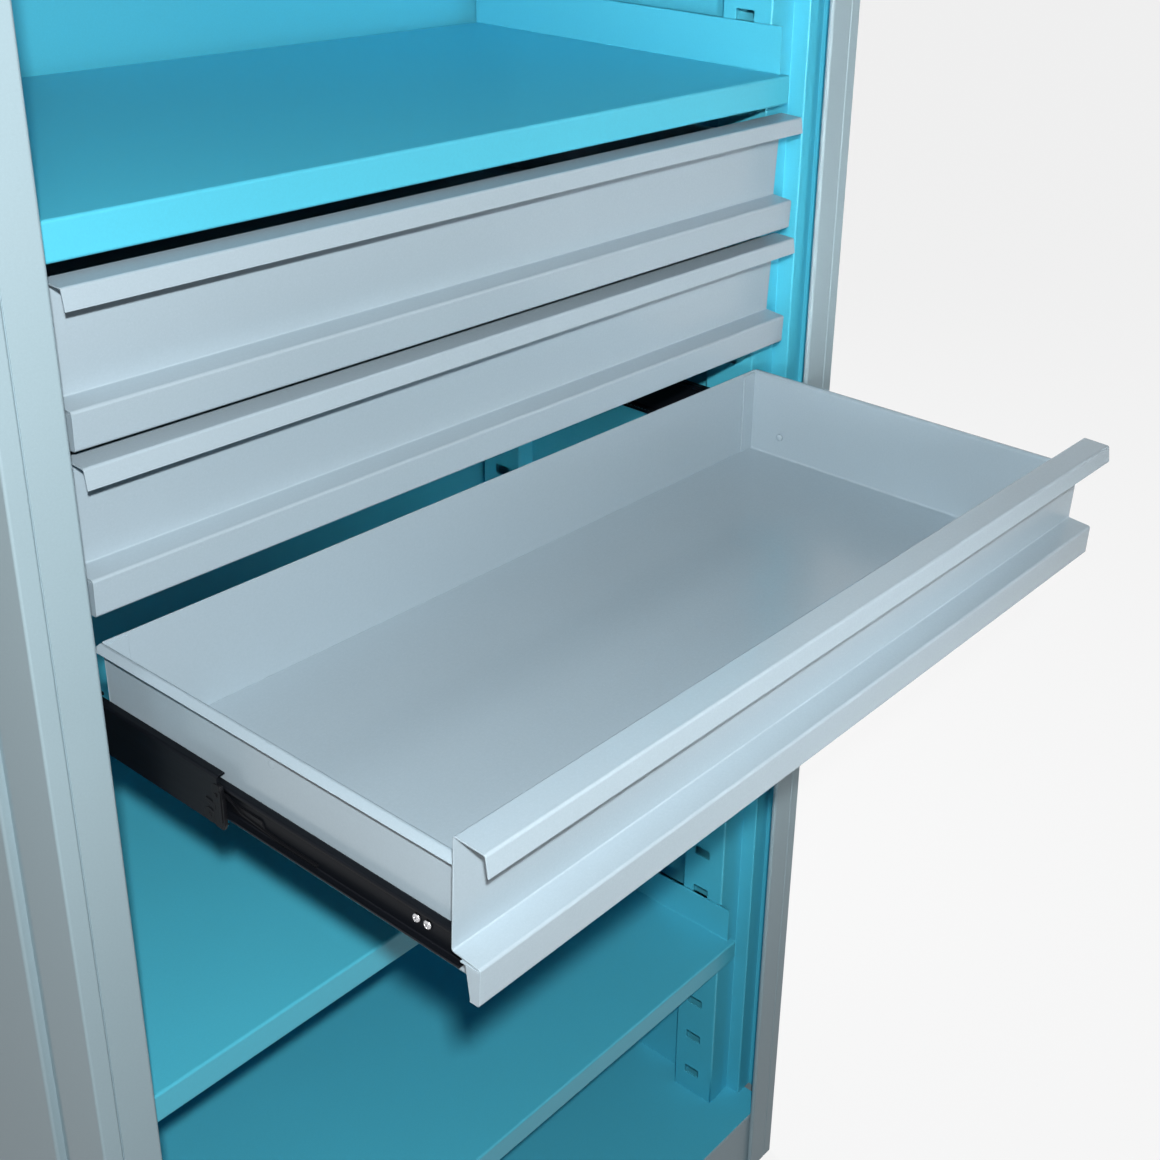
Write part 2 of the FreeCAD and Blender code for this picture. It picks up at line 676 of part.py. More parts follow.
def drawers():
    front, box = drawer_front(), drawer_box()
    rail_member, middle, runner = slide_rail(), slide_middle(), slide_runner()
    cap, rows = slide_cap(), ball_rows()
    pieces = {}
    for number, opened in enumerate(drawer_open):
        name = f"drawer_{number + 1}"
        top, centre = drawer_top(number), slide_z(number)
        box_y = face_y - opened
        runner_y = slide_y - opened
        middle_y = slide_y - MIDDLE_SHARE * opened
        pieces[name + "_front"] = moved(front, y=box_y, z=top)
        pieces[name + "_box"] = moved(box, y=box_y, z=top)
        for part, shape, y in (("rail", rail_member, slide_y), ("middle", middle, middle_y),
                               ("runner", runner, runner_y)):
            right = moved(shape, y=y, z=centre)
            pieces[f"{name}_{part}_right"] = right
            pieces[f"{name}_{part}_left"] = mirrored(right)
        pieces[name + "_middle_caps"] = both_sides([moved(cap, y=middle_y, z=centre)])
        pieces[name + "_ball_cages"] = both_sides([moved(one, y=middle_y, z=centre) for one in rows])
    return pieces


def main():
    os.makedirs("parts", exist_ok=True)
    pieces = carcass()
    pieces.update(drawers())
    for name, shape in pieces.items():
        shape.exportStep(f"parts/{name}.step")
    print(len(pieces), "nodes")


main()
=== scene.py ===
"""A steel tool cabinet with hooked shelves and drawers on ball-bearing slides.

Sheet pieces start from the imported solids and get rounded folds, rounded cut edges and coats of
powder paint. The slides, their balls and the fasteners are made here on the same places.
Lengths are metres. X runs right, Y runs back, Z is up, and the floor is at zero.
"""

import json
import math

import bmesh
import bpy
from bpy.props import FloatProperty, FloatVectorProperty, IntProperty, PointerProperty
from mathutils import Matrix, Vector


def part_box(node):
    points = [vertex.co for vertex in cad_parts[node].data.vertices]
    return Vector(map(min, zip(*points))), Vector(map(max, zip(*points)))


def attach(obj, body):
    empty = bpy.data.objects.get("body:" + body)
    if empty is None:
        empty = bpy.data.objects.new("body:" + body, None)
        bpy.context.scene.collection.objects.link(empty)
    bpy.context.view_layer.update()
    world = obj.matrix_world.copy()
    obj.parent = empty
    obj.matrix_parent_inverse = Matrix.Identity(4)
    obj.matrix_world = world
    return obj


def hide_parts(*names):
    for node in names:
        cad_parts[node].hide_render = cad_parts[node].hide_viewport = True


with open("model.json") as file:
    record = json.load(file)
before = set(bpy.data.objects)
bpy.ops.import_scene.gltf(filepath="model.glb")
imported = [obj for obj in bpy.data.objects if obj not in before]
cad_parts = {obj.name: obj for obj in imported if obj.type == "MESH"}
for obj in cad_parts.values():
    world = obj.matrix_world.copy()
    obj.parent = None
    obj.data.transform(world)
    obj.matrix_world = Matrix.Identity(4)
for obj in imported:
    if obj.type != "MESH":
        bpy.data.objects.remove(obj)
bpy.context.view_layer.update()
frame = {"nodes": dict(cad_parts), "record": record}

bl_info = {
    "name": "Sheet Steel Tool Cabinet",
    "version": (1, 0, 0),
    "blender": (4, 5, 0),
    "location": "View3D > Sidebar > Cabinet",
    "description": "Dresses an open-fronted tool cabinet with shelves and drawers",
    "category": "Object",
}

MM = 0.001
SIDES = {"right": 1, "left": -1}
DRAWERS = (1, 2, 3)

BODY_OF = {node: body for body, nodes in frame["record"]["behaviour"]["bodies"].items() for node in nodes}
SLOT_OF = {part["node"]: part["material_slot"] for part in frame["record"]["subparts"]}


# Sizes, colours and light that a user would change

class CabinetEdges(bpy.types.PropertyGroup):
    rim: FloatProperty(
        name="Cut edge", description="Rounding of the sheets' cut edges under the paint",
        default=0.3 * MM, min=0.05 * MM, unit="LENGTH")
    inner_fold: FloatProperty(
        name="Inner fold", description="Inside radius of the sharp folds",
        default=0.7 * MM, min=0.1 * MM, unit="LENGTH")
    slot_corner: FloatProperty(
        name="Slot corner", description="Corner radius of the slots and of the sheets' outlines",
        default=1.3 * MM, min=0.1 * MM, unit="LENGTH")
    steps: IntProperty(
        name="Steps", description="Faces across a rounded edge", default=3, min=1, max=8)


class CabinetFront(bpy.types.PropertyGroup):
    sheet: FloatProperty(
        name="Sheet", description="Thickness of the drawers' sheet", default=1.2 * MM, unit="LENGTH")
    bend: FloatProperty(
        name="Bend", description="Inside radius of the front's folds", default=1.2 * MM, unit="LENGTH")
    flange: FloatProperty(
        name="Top flange", description="Depth of the flange on top", default=26.9 * MM, unit="LENGTH")
    flange_fall: FloatProperty(
        name="Flange fall", description="How much lower the flange's front edge is",
        default=1.0 * MM, unit="LENGTH")
    lip: FloatProperty(
        name="Lip", description="Height of the lip under the flange's front edge",
        default=16.7 * MM, unit="LENGTH")
    lip_kick: FloatProperty(
        name="Lip kick", description="How far the lip's edge stands forward",
        default=2.3 * MM, unit="LENGTH")
    face: FloatProperty(
        name="Face", description="Height of the face", default=84.8 * MM, unit="LENGTH")
    lean: FloatProperty(
        name="Lean", description="How far the face leans back at its foot",
        default=3.8 * MM, unit="LENGTH")
    ledge: FloatProperty(
        name="Ledge", description="Depth of the ledge below the face", default=24.4 * MM, unit="LENGTH")
    ledge_fall: FloatProperty(
        name="Ledge fall", description="Slope of the ledge towards the front",
        default=2.4 * MM, unit="LENGTH")
    skirt: FloatProperty(
        name="Skirt", description="Height of the skirt below the ledge",
        default=29.3 * MM, unit="LENGTH")
    skirt_tuck: FloatProperty(
        name="Skirt tuck", description="How far the skirt's foot is set back",
        default=1.1 * MM, unit="LENGTH")
    hem: FloatProperty(
        name="Hem", description="Depth of the fold under the skirt", default=9 * MM, unit="LENGTH")
    tab_top: FloatProperty(
        name="Tab top", description="Width of the end tab's top", default=11.5 * MM, unit="LENGTH")
    tab_foot: FloatProperty(
        name="Tab foot", description="Width of the end tab's foot", default=8.0 * MM, unit="LENGTH")
    tab_gap: FloatProperty(
        name="Tab gap", description="Gap between the ledge and the end tab",
        default=2.0 * MM, unit="LENGTH")
    tab_flange: FloatProperty(
        name="Tab flange", description="Width of the fold along the end tab's top",
        default=8.0 * MM, unit="LENGTH")
    tab_reach: FloatProperty(
        name="Tab reach", description="Depth of that fold", default=15.7 * MM, unit="LENGTH")


class CabinetBox(bpy.types.PropertyGroup):
    rim_bend: FloatProperty(
        name="Rim bend", description="Inside radius of the fold along the side walls' rims",
        default=2.2 * MM, unit="LENGTH")
    rim_fall: FloatProperty(
        name="Rim fall", description="How much lower the outer edge of that fold is",
        default=4 * MM, unit="LENGTH")
    floor_bend: FloatProperty(
        name="Floor bend", description="Inside radius of the folds along the floor",
        default=2.2 * MM, unit="LENGTH")
    tab: FloatProperty(
        name="Back tab", description="Width of the tabs welded to the back wall",
        default=19 * MM, unit="LENGTH")


class CabinetUprights(bpy.types.PropertyGroup):
    sheet: FloatProperty(
        name="Sheet", description="Thickness of the uprights' sheet", default=1.5 * MM, unit="LENGTH")
    bend: FloatProperty(
        name="Bend", description="Inside radius of the uprights' folds", default=0.8 * MM, unit="LENGTH")
    slot_length: FloatProperty(
        name="Slot length", description="Length of a slot, front to back", default=23 * MM, unit="LENGTH")
    slot_height: FloatProperty(
        name="Slot height", description="Height of a slot", default=12.5 * MM, unit="LENGTH")
    setback: FloatProperty(
        name="Slot setback", description="Slots' centres from the upright's outer corner",
        default=34 * MM, unit="LENGTH")
    first: FloatProperty(
        name="First slot", description="Centre of the lowest slot above the floor",
        default=133.2 * MM, unit="LENGTH")
    pitch: FloatProperty(
        name="Pitch", description="Height from slot to slot", default=61 * MM, unit="LENGTH")
    count: IntProperty(
        name="Slots", description="Number of slots in each upright", default=29, min=1, max=60)


class CabinetColours(bpy.types.PropertyGroup):
    outer: FloatVectorProperty(
        name="Outer grey", description="Paint of the outer skin and stiles", subtype="COLOR",
        size=3, min=0, max=1, default=(0.32, 0.43, 0.475))
    inner: FloatVectorProperty(
        name="Inner blue", description="Paint of the inner body and shelves", subtype="COLOR",
        size=3, min=0, max=1, default=(0.08, 0.51, 0.67))
    drawer: FloatVectorProperty(
        name="Drawer grey", description="Paint of the drawers", subtype="COLOR",
        size=3, min=0, max=1, default=(0.355, 0.445, 0.50))
    slide: FloatVectorProperty(
        name="Slide black", description="Coat of the slides", subtype="COLOR",
        size=3, min=0, max=1, default=(0.004, 0.005, 0.007))


class CabinetSlides(bpy.types.PropertyGroup):
    rail_bend: FloatProperty(
        name="Rail race", description="Inside radius of the rail's ball races",
        default=2.2 * MM, min=0.1 * MM, unit="LENGTH")
    middle_bend: FloatProperty(
        name="Middle race", description="Inside radius of the middle member's bends",
        default=1.1 * MM, min=0.1 * MM, unit="LENGTH")
    rail_sheet: FloatProperty(
        name="Rail sheet", description="Thickness of the rail", default=1.4 * MM, unit="LENGTH")
    sheet: FloatProperty(
        name="Member sheet", description="Thickness of the middle member and the runner",
        default=1.2 * MM, unit="LENGTH")
    rail_lip: FloatProperty(
        name="Rail lip", description="Height of the rail's turned-in lips",
        default=3.8 * MM, unit="LENGTH")
    runner_lip: FloatProperty(
        name="Runner lip", description="Height of the runner's turned-in lips",
        default=2.6 * MM, unit="LENGTH")
    ball_gap: FloatProperty(
        name="Ball gap", description="Space between neighbouring balls of a cage",
        default=2.2 * MM, min=0.1 * MM, unit="LENGTH")
    ball_play: FloatProperty(
        name="Ball play", description="Space between a ball and the moving race",
        default=0.4 * MM, unit="LENGTH")
    cage_sheet: FloatProperty(
        name="Cage sheet", description="Thickness of the ball cages", default=0.8 * MM, unit="LENGTH")
    cage_spare: FloatProperty(
        name="Cage width", description="How much wider than its balls a cage is",
        default=1.5 * MM, unit="LENGTH")
    cage_level: FloatProperty(
        name="Cage level", description="Inner cage below the balls' centres, as a share of their radius",
        default=0.6, min=0, max=0.9)
    outer_cage: FloatVectorProperty(
        name="Outer cage", description="Length of the outer cages and their gap from the rear end",
        size=2, default=(150 * MM, 22 * MM), unit="LENGTH")
    inner_cage: FloatVectorProperty(
        name="Inner cage", description="Length of the inner cages and their gap from the front end",
        size=2, default=(110 * MM, 14 * MM), unit="LENGTH")
    stop_front: FloatProperty(
        name="Stop front", description="How far the moulded stop stands in front of the member",
        default=6 * MM, unit="LENGTH")
    stop_length: FloatProperty(
        name="Stop length", description="Length of the moulded stop on the middle member",
        default=20 * MM, min=5 * MM, unit="LENGTH")
    stop_skin: FloatProperty(
        name="Stop skin", description="Thickness of the stop over the member's sheet",
        default=0.9 * MM, unit="LENGTH")
    stop_low: FloatProperty(
        name="Stop foot", description="Height of the stop's foot above the member's lower edge",
        default=1.0 * MM, unit="LENGTH")
    stop_top: FloatProperty(
        name="Stop top", description="How far the stop's top is below the member's upper edge",
        default=6.5 * MM, unit="LENGTH")


class CabinetFasteners(bpy.types.PropertyGroup):
    rivet_head: FloatProperty(
        name="Rivet head", description="Diameter of the rivets' heads",
        default=8.0 * MM, min=1 * MM, unit="LENGTH")
    screw_head: FloatProperty(
        name="Screw head", description="Diameter of the screws' heads",
        default=7.0 * MM, min=1 * MM, unit="LENGTH")
    weld: FloatProperty(
        name="Weld mark", description="Diameter of a spot weld's mark",
        default=6.0 * MM, min=1 * MM, unit="LENGTH")
    round_steps: IntProperty(
        name="Round steps", description="Sides of a round head", default=20, min=6, max=64)


class CabinetStudio(bpy.types.PropertyGroup):
    eye: FloatVectorProperty(
        name="Camera place", description="Where the camera stands", subtype="TRANSLATION",
        unit="LENGTH", default=(-0.923664, -1.134804, 1.760550))
    turn: FloatVectorProperty(
        name="Camera turn", description="The camera's rotation", subtype="EULER", unit="ROTATION",
        default=(math.radians(66.1328), math.radians(-2.3396), math.radians(-51.7685)))
    lens: FloatProperty(
        name="Lens", description="Focal length on a 36 mm sensor", default=49.1755, min=10)
    shift: FloatVectorProperty(
        name="Shift", description="Shift of the frame across the lens", size=2,
        default=(-0.10315, -0.09336))
    key_power: FloatProperty(
        name="Key light", description="Power of the soft lamp beside the camera",
        default=28.8, min=0, unit="POWER")
    rear_power: FloatProperty(
        name="Rear light", description="Power of the soft lamp behind the cabinet",
        default=57, min=0, unit="POWER")
    key_size: FloatProperty(
        name="Key size", description="Side of the soft lamp", default=0.04, min=0.01, unit="LENGTH")
    top_power: FloatProperty(
        name="Top light", description="Power of the soft lamp above the roof",
        default=35, min=0, unit="POWER")
    side_power: FloatProperty(
        name="Side light", description="Power of the tall lamp that is aimed at the right-hand stile",
        default=1.7, min=0, unit="POWER")
    side_spread: FloatProperty(
        name="Side spread", description="Angle over which the tall lamp throws its light",
        default=math.radians(30), min=0.02, max=math.pi, unit="ROTATION")
    surround: FloatProperty(
        name="Surround", description="Strength of the light from all round", default=0.06, min=0)


# Finishes

class Amount:
    """A number in a material: arithmetic on it adds Math nodes."""

    def __init__(self, finish, socket):
        self.finish = finish
        self.socket = socket

    def __add__(self, other):
        return self.finish.math("ADD", self, other)

    def __sub__(self, other):
        return self.finish.math("SUBTRACT", self, other)

    def __rsub__(self, other):
        return self.finish.math("SUBTRACT", other, self)

    def __mul__(self, other):
        return self.finish.math("MULTIPLY", self, other)

    def __truediv__(self, other):
        return self.finish.math("DIVIDE", self, other)

    def __pow__(self, other):
        return self.finish.math("POWER", self, other)

    __radd__ = __add__
    __rmul__ = __mul__

    def over(self, low, high):
        """0 below low, 1 above high and a smooth step between them."""
        return self.finish.amount("ShaderNodeMapRange", {"interpolation_type": "SMOOTHSTEP"},
                                  {"Value": self, "From Min": low, "From Max": high}, "Result")


class Finish:
    """One material and the short ways to add to its nodes."""

    def __init__(self, name):
        self.material = bpy.data.materials.new(name)
        self.material.use_nodes = True
        self.tree = self.material.node_tree
        self.tree.nodes.clear()
        self.place = self.node("ShaderNodeTexCoord").outputs["Object"]

    def node(self, kind, settings=None, sockets=None):
        """A node of this type: its settings are made first, then its sockets' values or links."""
        node = self.tree.nodes.new(kind)
        for key, value in (settings or {}).items():
            setattr(node, key, value)
        for key, value in (sockets or {}).items():
            socket = node.inputs[key]
            source = value.socket if isinstance(value, Amount) else value
            if isinstance(source, bpy.types.NodeSocket):
                self.tree.links.new(source, socket)
            else:
                socket.default_value = source
        return node

    def amount(self, kind, settings, sockets, output):
        return Amount(self, self.node(kind, settings, sockets).outputs[output])

    def math(self, operation, first, second):
        return self.amount("ShaderNodeMath", {"operation": operation}, {0: first, 1: second}, 0)

    def noise(self, scale, detail=0.0, stretch=None):
        """Noise from 0 to 1 with this many waves in a metre, drawn out along an axis if asked."""
        place = self.place
        if stretch:
            place = self.node("ShaderNodeMapping", {}, {"Vector": place, "Scale": stretch}).outputs[0]
        sockets = {"Vector": place, "Scale": scale, "Detail": detail}
        return self.amount("ShaderNodeTexNoise", {}, sockets, "Fac")

    def toned(self, colour, shade):
        """The colour times a varying shade."""
        sockets = {0: colour, "Scale": shade}
        return self.node("ShaderNodeVectorMath", {"operation": "SCALE"}, sockets).outputs[0]

    def mixed(self, factor, first, second):
        sockets = {0: factor, 6: first, 7: second}
        return self.node("ShaderNodeMix", {"data_type": "RGBA"}, sockets).outputs[2]

    def bumped(self, height, depth):
        """Normal of a surface with this relief, whose full height is depth."""
        sockets = {"Height": height, "Distance": depth, "Strength": 1.0}
        return self.node("ShaderNodeBump", {}, sockets).outputs[0]

    def surface(self, **sockets):
        """The material, with a principled shader of these sockets."""
        named = {key.replace("_", " ").title().replace("Ior", "IOR"): value
                 for key, value in sockets.items()}
        shader = self.node("ShaderNodeBsdfPrincipled", {}, named)
        self.node("ShaderNodeOutputMaterial", {}, {"Surface": shader.outputs[0]})
        return self.material


def powder_coat(name, colour, roughness, gloss, peel_depth):
    """Baked powder paint: an even colour with a fine grain, flecks and orange peel."""
    coat = Finish(name)
    cloud = coat.noise(5, 2) - 0.5
    grain = coat.noise(520, 1) - 0.5
    fleck = coat.noise(1500).over(0.60, 0.72)
    peel = coat.noise(330, 1) + coat.noise(900) * 0.35
    return coat.surface(
        base_color=coat.toned((*colour, ), 1 + cloud * 0.08 + grain * 0.07 + fleck * 0.04),
        roughness=roughness + grain * 0.06 + cloud * 0.06,
        specular_ior_level=gloss,
        normal=coat.bumped(peel, peel_depth))


def slide_coat(name, colour):
    """Black coated strip steel, rubbed lengthwise where the members run."""
    coat = Finish(name)
    rubbed = coat.noise(9, 3, (60, 1, 60))
    patch = coat.noise(22, 2)
    shade = 1 + rubbed.over(0.55, 0.85) * 0.9 + (patch - 0.5) * 0.5
    return coat.surface(
        base_color=coat.toned((*colour, ), shade),
        roughness=0.36 + rubbed * 0.12,
        specular_ior_level=0.09,
        normal=coat.bumped(rubbed + patch, 0.03 * MM))


def moulded(name, colour, roughness):
    """Moulded plastic with a faint matt grain."""
    skin = Finish(name)
    grain = skin.noise(1300, 1)
    return skin.surface(
        base_color=skin.toned((*colour, ), 0.9 + grain * 0.2),
        roughness=roughness + (grain - 0.5) * 0.15,
        specular_ior_level=0.07,
        normal=skin.bumped(grain, 0.03 * MM))


def bright_steel(name, colour, roughness):
    """Zinc plated or ground steel, with a faint smear of oil."""
    metal = Finish(name)
    smear = metal.noise(60, 2)
    fine = metal.noise(2200, 1)
    return metal.surface(
        base_color=metal.toned((*colour, ), 0.85 + smear * 0.3),
        metallic=1.0,
        roughness=roughness + (smear - 0.5) * 0.2,
        normal=metal.bumped(fine, 0.01 * MM))


def finishes(colours):
    """Every material, by the slot whose pieces take it."""
    return {
        "outer_paint": powder_coat("outer_powder_coat", colours.outer, 0.42, 0.35, 0.05 * MM),
        "inner_paint": powder_coat("inner_powder_coat", colours.inner, 0.36, 0.45, 0.05 * MM),
        "drawer_paint": powder_coat("drawer_powder_coat", colours.drawer, 0.22, 0.5, 0.012 * MM),
        "slide_steel": slide_coat("slide_black_coat", colours.slide),
        "stop_plastic": moulded("stop_moulding", (0.006, 0.0065, 0.008), 0.34),
        "bearing_steel": bright_steel("bearing_steel", (0.62, 0.62, 0.64), 0.22),
    }


FINISH = {}


# Meshes

def made_piece(shape, name, material):
    """An object from a bmesh, which is used up."""
    mesh = bpy.data.meshes.new(name)
    shape.to_mesh(mesh)
    shape.free()
    mesh.materials.append(material)
    piece = bpy.data.objects.new(name, mesh)
    bpy.context.scene.collection.objects.link(piece)
    return piece


def baked(piece):
    """Applies a piece's modifiers: its evaluated mesh becomes its own."""
    graph = bpy.context.evaluated_depsgraph_get()
    mesh = bpy.data.meshes.new_from_object(piece.evaluated_get(graph))
    old, name = piece.data, piece.data.name
    piece.modifiers.clear()
    piece.data = mesh
    bpy.data.meshes.remove(old)
    mesh.name = name
    return piece


def smoothed(piece):
    """Smooth shading that leaves the flat faces flat."""
    piece.data.polygons.foreach_set("use_smooth", [True] * len(piece.data.polygons))
    weights = piece.modifiers.new("Flat faces", "WEIGHTED_NORMAL")
    weights.weight = 100
    weights.keep_sharp = True
    return baked(piece)


def settled(piece, body, nodes=()):
    """Sets a finished piece on its body, in place of the solids that it stands for."""
    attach(piece, body)
    if nodes:
        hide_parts(*nodes)
    return piece


def is_thin(face, sheet):
    """Whether a face is a cut edge of the sheet, by its mean width."""
    around = sum(edge.calc_length() for edge in face.edges)
    return 2 * face.calc_area() / around < sheet * 1.06


def edge_width(edge, sheet, edges):
    """Width of the rounding that an edge of a folded sheet gets."""
    if len(edge.link_faces) != 2 or edge.calc_face_angle() < math.radians(20):
        return 0
    thin = [is_thin(face, sheet) for face in edge.link_faces]
    if all(thin) and abs(edge.calc_length() - sheet) < 0.04 * MM:
        return edges.slot_corner
    if any(thin):
        return edges.rim
    return edges.inner_fold + (sheet if edge.is_convex else 0)


def whole_faces(mesh):
    """A bmesh of a solid's loose triangles, with doubles merged and flat faces whole."""
    shape = bmesh.new()
    shape.from_mesh(mesh)
    bmesh.ops.remove_doubles(shape, verts=shape.verts, dist=0.002 * MM)
    bmesh.ops.dissolve_limit(shape, angle_limit=math.radians(0.6), use_dissolve_boundaries=False,
                             verts=shape.verts, edges=shape.edges)
    return shape


def sheet_piece(node, sheet, edges):
    """A sheet of the cabinet: the solid with its folds and cut edges rounded."""
    shape = whole_faces(frame["nodes"][node].data)
    for layer in list(shape.loops.layers.uv):
        shape.loops.layers.uv.remove(layer)
    weight = shape.edges.layers.float.new("bevel_weight_edge")
    widest = edges.inner_fold + sheet
    for edge in shape.edges:
        edge[weight] = edge_width(edge, sheet, edges) / widest
    piece = rounded(shape, node + "_sheet", FINISH[SLOT_OF[node]], widest, edges.steps)
    return settled(piece, BODY_OF[node], [node])


def turned_round(profile, steps):
    """A bmesh turned round Z from (radius, height) points that start and end on the axis.

    A radius may be a list, with one for each step round the axis.
    """
    shape = bmesh.new()
    rings = []
    turns = [2 * math.pi * step / steps for step in range(steps)]
    for radius, height in profile:
        if radius == 0:
            rings.append([shape.verts.new((0, 0, height))])
            continue
        reach = radius if isinstance(radius, list) else [radius] * steps
        rings.append([shape.verts.new((r * math.cos(a), r * math.sin(a), height))
                      for r, a in zip(reach, turns)])
    for lower, upper in zip(rings, rings[1:]):
        for step in range(steps):
            corners = [lower[step % len(lower)], lower[(step + 1) % len(lower)],
                       upper[(step + 1) % len(upper)], upper[step % len(upper)]]
            unique = list(dict.fromkeys(corners))
            if len(unique) > 2:
                shape.faces.new(unique)
    bmesh.ops.recalc_face_normals(shape, faces=shape.faces)
    return shape


def strip_side(path, offset, bends, steps):
    """Points of one face of a bent strip, offset to the left of its middle path."""
    points = []
    ahead = (path[1] - path[0]).normalized()
    points.append(path[0] + Vector((-ahead.y, ahead.x)) * offset)
    for before, corner, after, bend in zip(path, path[1:], path[2:], bends):
        come, go = (corner - before).normalized(), (after - corner).normalized()
        turn = come.angle_signed(go) * -1
        side = math.copysign(1, turn)
        half_tan = math.tan(abs(turn) / 2)
        room = 0.48 * min((corner - before).length, (after - corner).length) / half_tan
        radius = min(bend, room)
        centre = corner - come * radius * half_tan + Vector((-come.y, come.x)) * radius * side
        arm = Vector((come.y, -come.x)) * side * (radius - side * offset)
        for step in range(steps + 1):
            points.append(centre + Matrix.Rotation(turn * step / steps, 2) @ arm)
    ahead = (path[-1] - path[-2]).normalized()
    points.append(path[-1] + Vector((-ahead.y, ahead.x)) * offset)
    return points


def bent_strip(corners, sheet, bend, low, high, place, steps=6):
    """A bmesh of a strip bent along its corners, run from low to high.

    bend is the inside radius of every bend, or a list with one for each.
    place(a, b, along) puts a point of the strip's section into the room.
    """
    path = [Vector(corner) for corner in corners]
    inside = bend if isinstance(bend, list) else [bend] * (len(path) - 2)
    middle = [radius + sheet / 2 for radius in inside]
    near = strip_side(path, sheet / 2, middle, steps)
    far = strip_side(path, -sheet / 2, middle, steps)
    outline = near + far[::-1]
    edge_starts = (len(near) - 1, len(outline) - 1)
    shape = bmesh.new()
    ends = [[shape.verts.new(place(point.x, point.y, along)) for point in outline] for along in (low, high)]
    count = len(outline)
    for step in range(count):
        after = (step + 1) % count
        shape.faces.new((ends[0][step], ends[0][after], ends[1][after], ends[1][step]))
    caps = [shape.faces.new(end) for end in ends]
    weight = shape.edges.layers.float.new("bevel_weight_edge")
    for cap in caps:
        for edge in cap.edges:
            edge[weight] = 1
    for start in edge_starts:
        for step in (start, (start + 1) % count):
            long_edge = shape.edges.get((ends[0][step], ends[1][step]))
            long_edge[weight] = 1
    bmesh.ops.recalc_face_normals(shape, faces=shape.faces)
    return shape


def softened(corners, radius, steps=4):
    """A polygon's points with every corner drawn round."""
    points = []
    count = len(corners)
    for index in range(count):
        before, corner, after = (Vector(corners[(index + shift) % count]) for shift in (-1, 0, 1))
        start = corner + (before - corner).normalized() * radius
        end = corner + (after - corner).normalized() * radius
        for step in range(steps + 1):
            part = step / steps
            points.append(start.lerp(corner, part).lerp(corner.lerp(end, part), part))
    return points


def flat_plate(corners, low, high, place):
    """A bmesh of a flat plate with these corners, every edge marked for rounding."""
    shape = bmesh.new()
    ends = [[shape.verts.new(place(a, b, along)) for a, b in corners] for along in (low, high)]
    count = len(corners)
    for step in range(count):
        after = (step + 1) % count
        shape.faces.new((ends[0][step], ends[0][after], ends[1][after], ends[1][step]))
    for end in ends:
        shape.faces.new(end)
    weight = shape.edges.layers.float.new("bevel_weight_edge")
    for edge in shape.edges:
        edge[weight] = 1
    bmesh.ops.recalc_face_normals(shape, faces=shape.faces)
    return shape


def joined(shapes):
    """One bmesh of several, which are used up."""
    whole = bmesh.new()
    whole.edges.layers.float.new("bevel_weight_edge")
    for shape in shapes:
        mesh = bpy.data.meshes.new("joining")
        shape.to_mesh(mesh)
        shape.free()
        whole.from_mesh(mesh)
        bpy.data.meshes.remove(mesh)
    return whole


def rounded(shape, name, material, width, steps):
    """A piece whose marked edges are rounded."""
    piece = made_piece(shape, name, material)
    bevel = piece.modifiers.new("Rounding", "BEVEL")
    bevel.limit_method = "WEIGHT"
    bevel.width = width
    bevel.segments = steps
    bevel.use_clamp_overlap = False
    bevel.loop_slide = False
    baked(piece)
    return smoothed(piece)


# Rows of like things, made by geometry nodes

ROW = "Row of pieces"


def row_tree():
    """Stands a copy of a piece at even steps along a line."""
    tree = bpy.data.node_groups.new(ROW, "GeometryNodeTree")
    face = tree.interface
    face.new_socket("Geometry", in_out="OUTPUT", socket_type="NodeSocketGeometry")
    for name, kind in (("Piece", "Object"), ("Count", "Int"), ("Start", "Vector"), ("Step", "Vector"),
                       ("Turn", "Vector"), ("Weld", "Float"), ("Material", "Material")):
        face.new_socket(name, in_out="INPUT", socket_type="NodeSocket" + kind)
    given = tree.nodes.new("NodeGroupInput").outputs
    line = tree.nodes.new("GeometryNodeMeshLine")
    line.mode = "OFFSET"
    piece = tree.nodes.new("GeometryNodeObjectInfo")
    stand = tree.nodes.new("GeometryNodeInstanceOnPoints")
    turn = tree.nodes.new("FunctionNodeEulerToRotation")
    real = tree.nodes.new("GeometryNodeRealizeInstances")
    weld = tree.nodes.new("GeometryNodeMergeByDistance")
    paint = tree.nodes.new("GeometryNodeSetMaterial")
    result = tree.nodes.new("NodeGroupOutput")
    link = tree.links.new
    link(given["Count"], line.inputs["Count"])
    link(given["Start"], line.inputs["Start Location"])
    link(given["Step"], line.inputs["Offset"])
    link(given["Piece"], piece.inputs["Object"])
    link(given["Turn"], turn.inputs[0])
    link(line.outputs["Mesh"], stand.inputs["Points"])
    link(piece.outputs["Geometry"], stand.inputs["Instance"])
    link(turn.outputs[0], stand.inputs["Rotation"])
    link(stand.outputs[0], real.inputs[0])
    link(real.outputs[0], weld.inputs["Geometry"])
    link(given["Weld"], weld.inputs["Distance"])
    link(weld.outputs[0], paint.inputs["Geometry"])
    link(given["Material"], paint.inputs["Material"])
    link(paint.outputs[0], result.inputs[0])
    return tree


def given_inputs(modifier, values):
    """Sets a modifier's inputs by the identifiers of their sockets."""
    for item in modifier.node_group.interface.items_tree:
        if item.item_type == "SOCKET" and item.in_out == "INPUT" and item.name in values:
            modifier[item.identifier] = values[item.name]


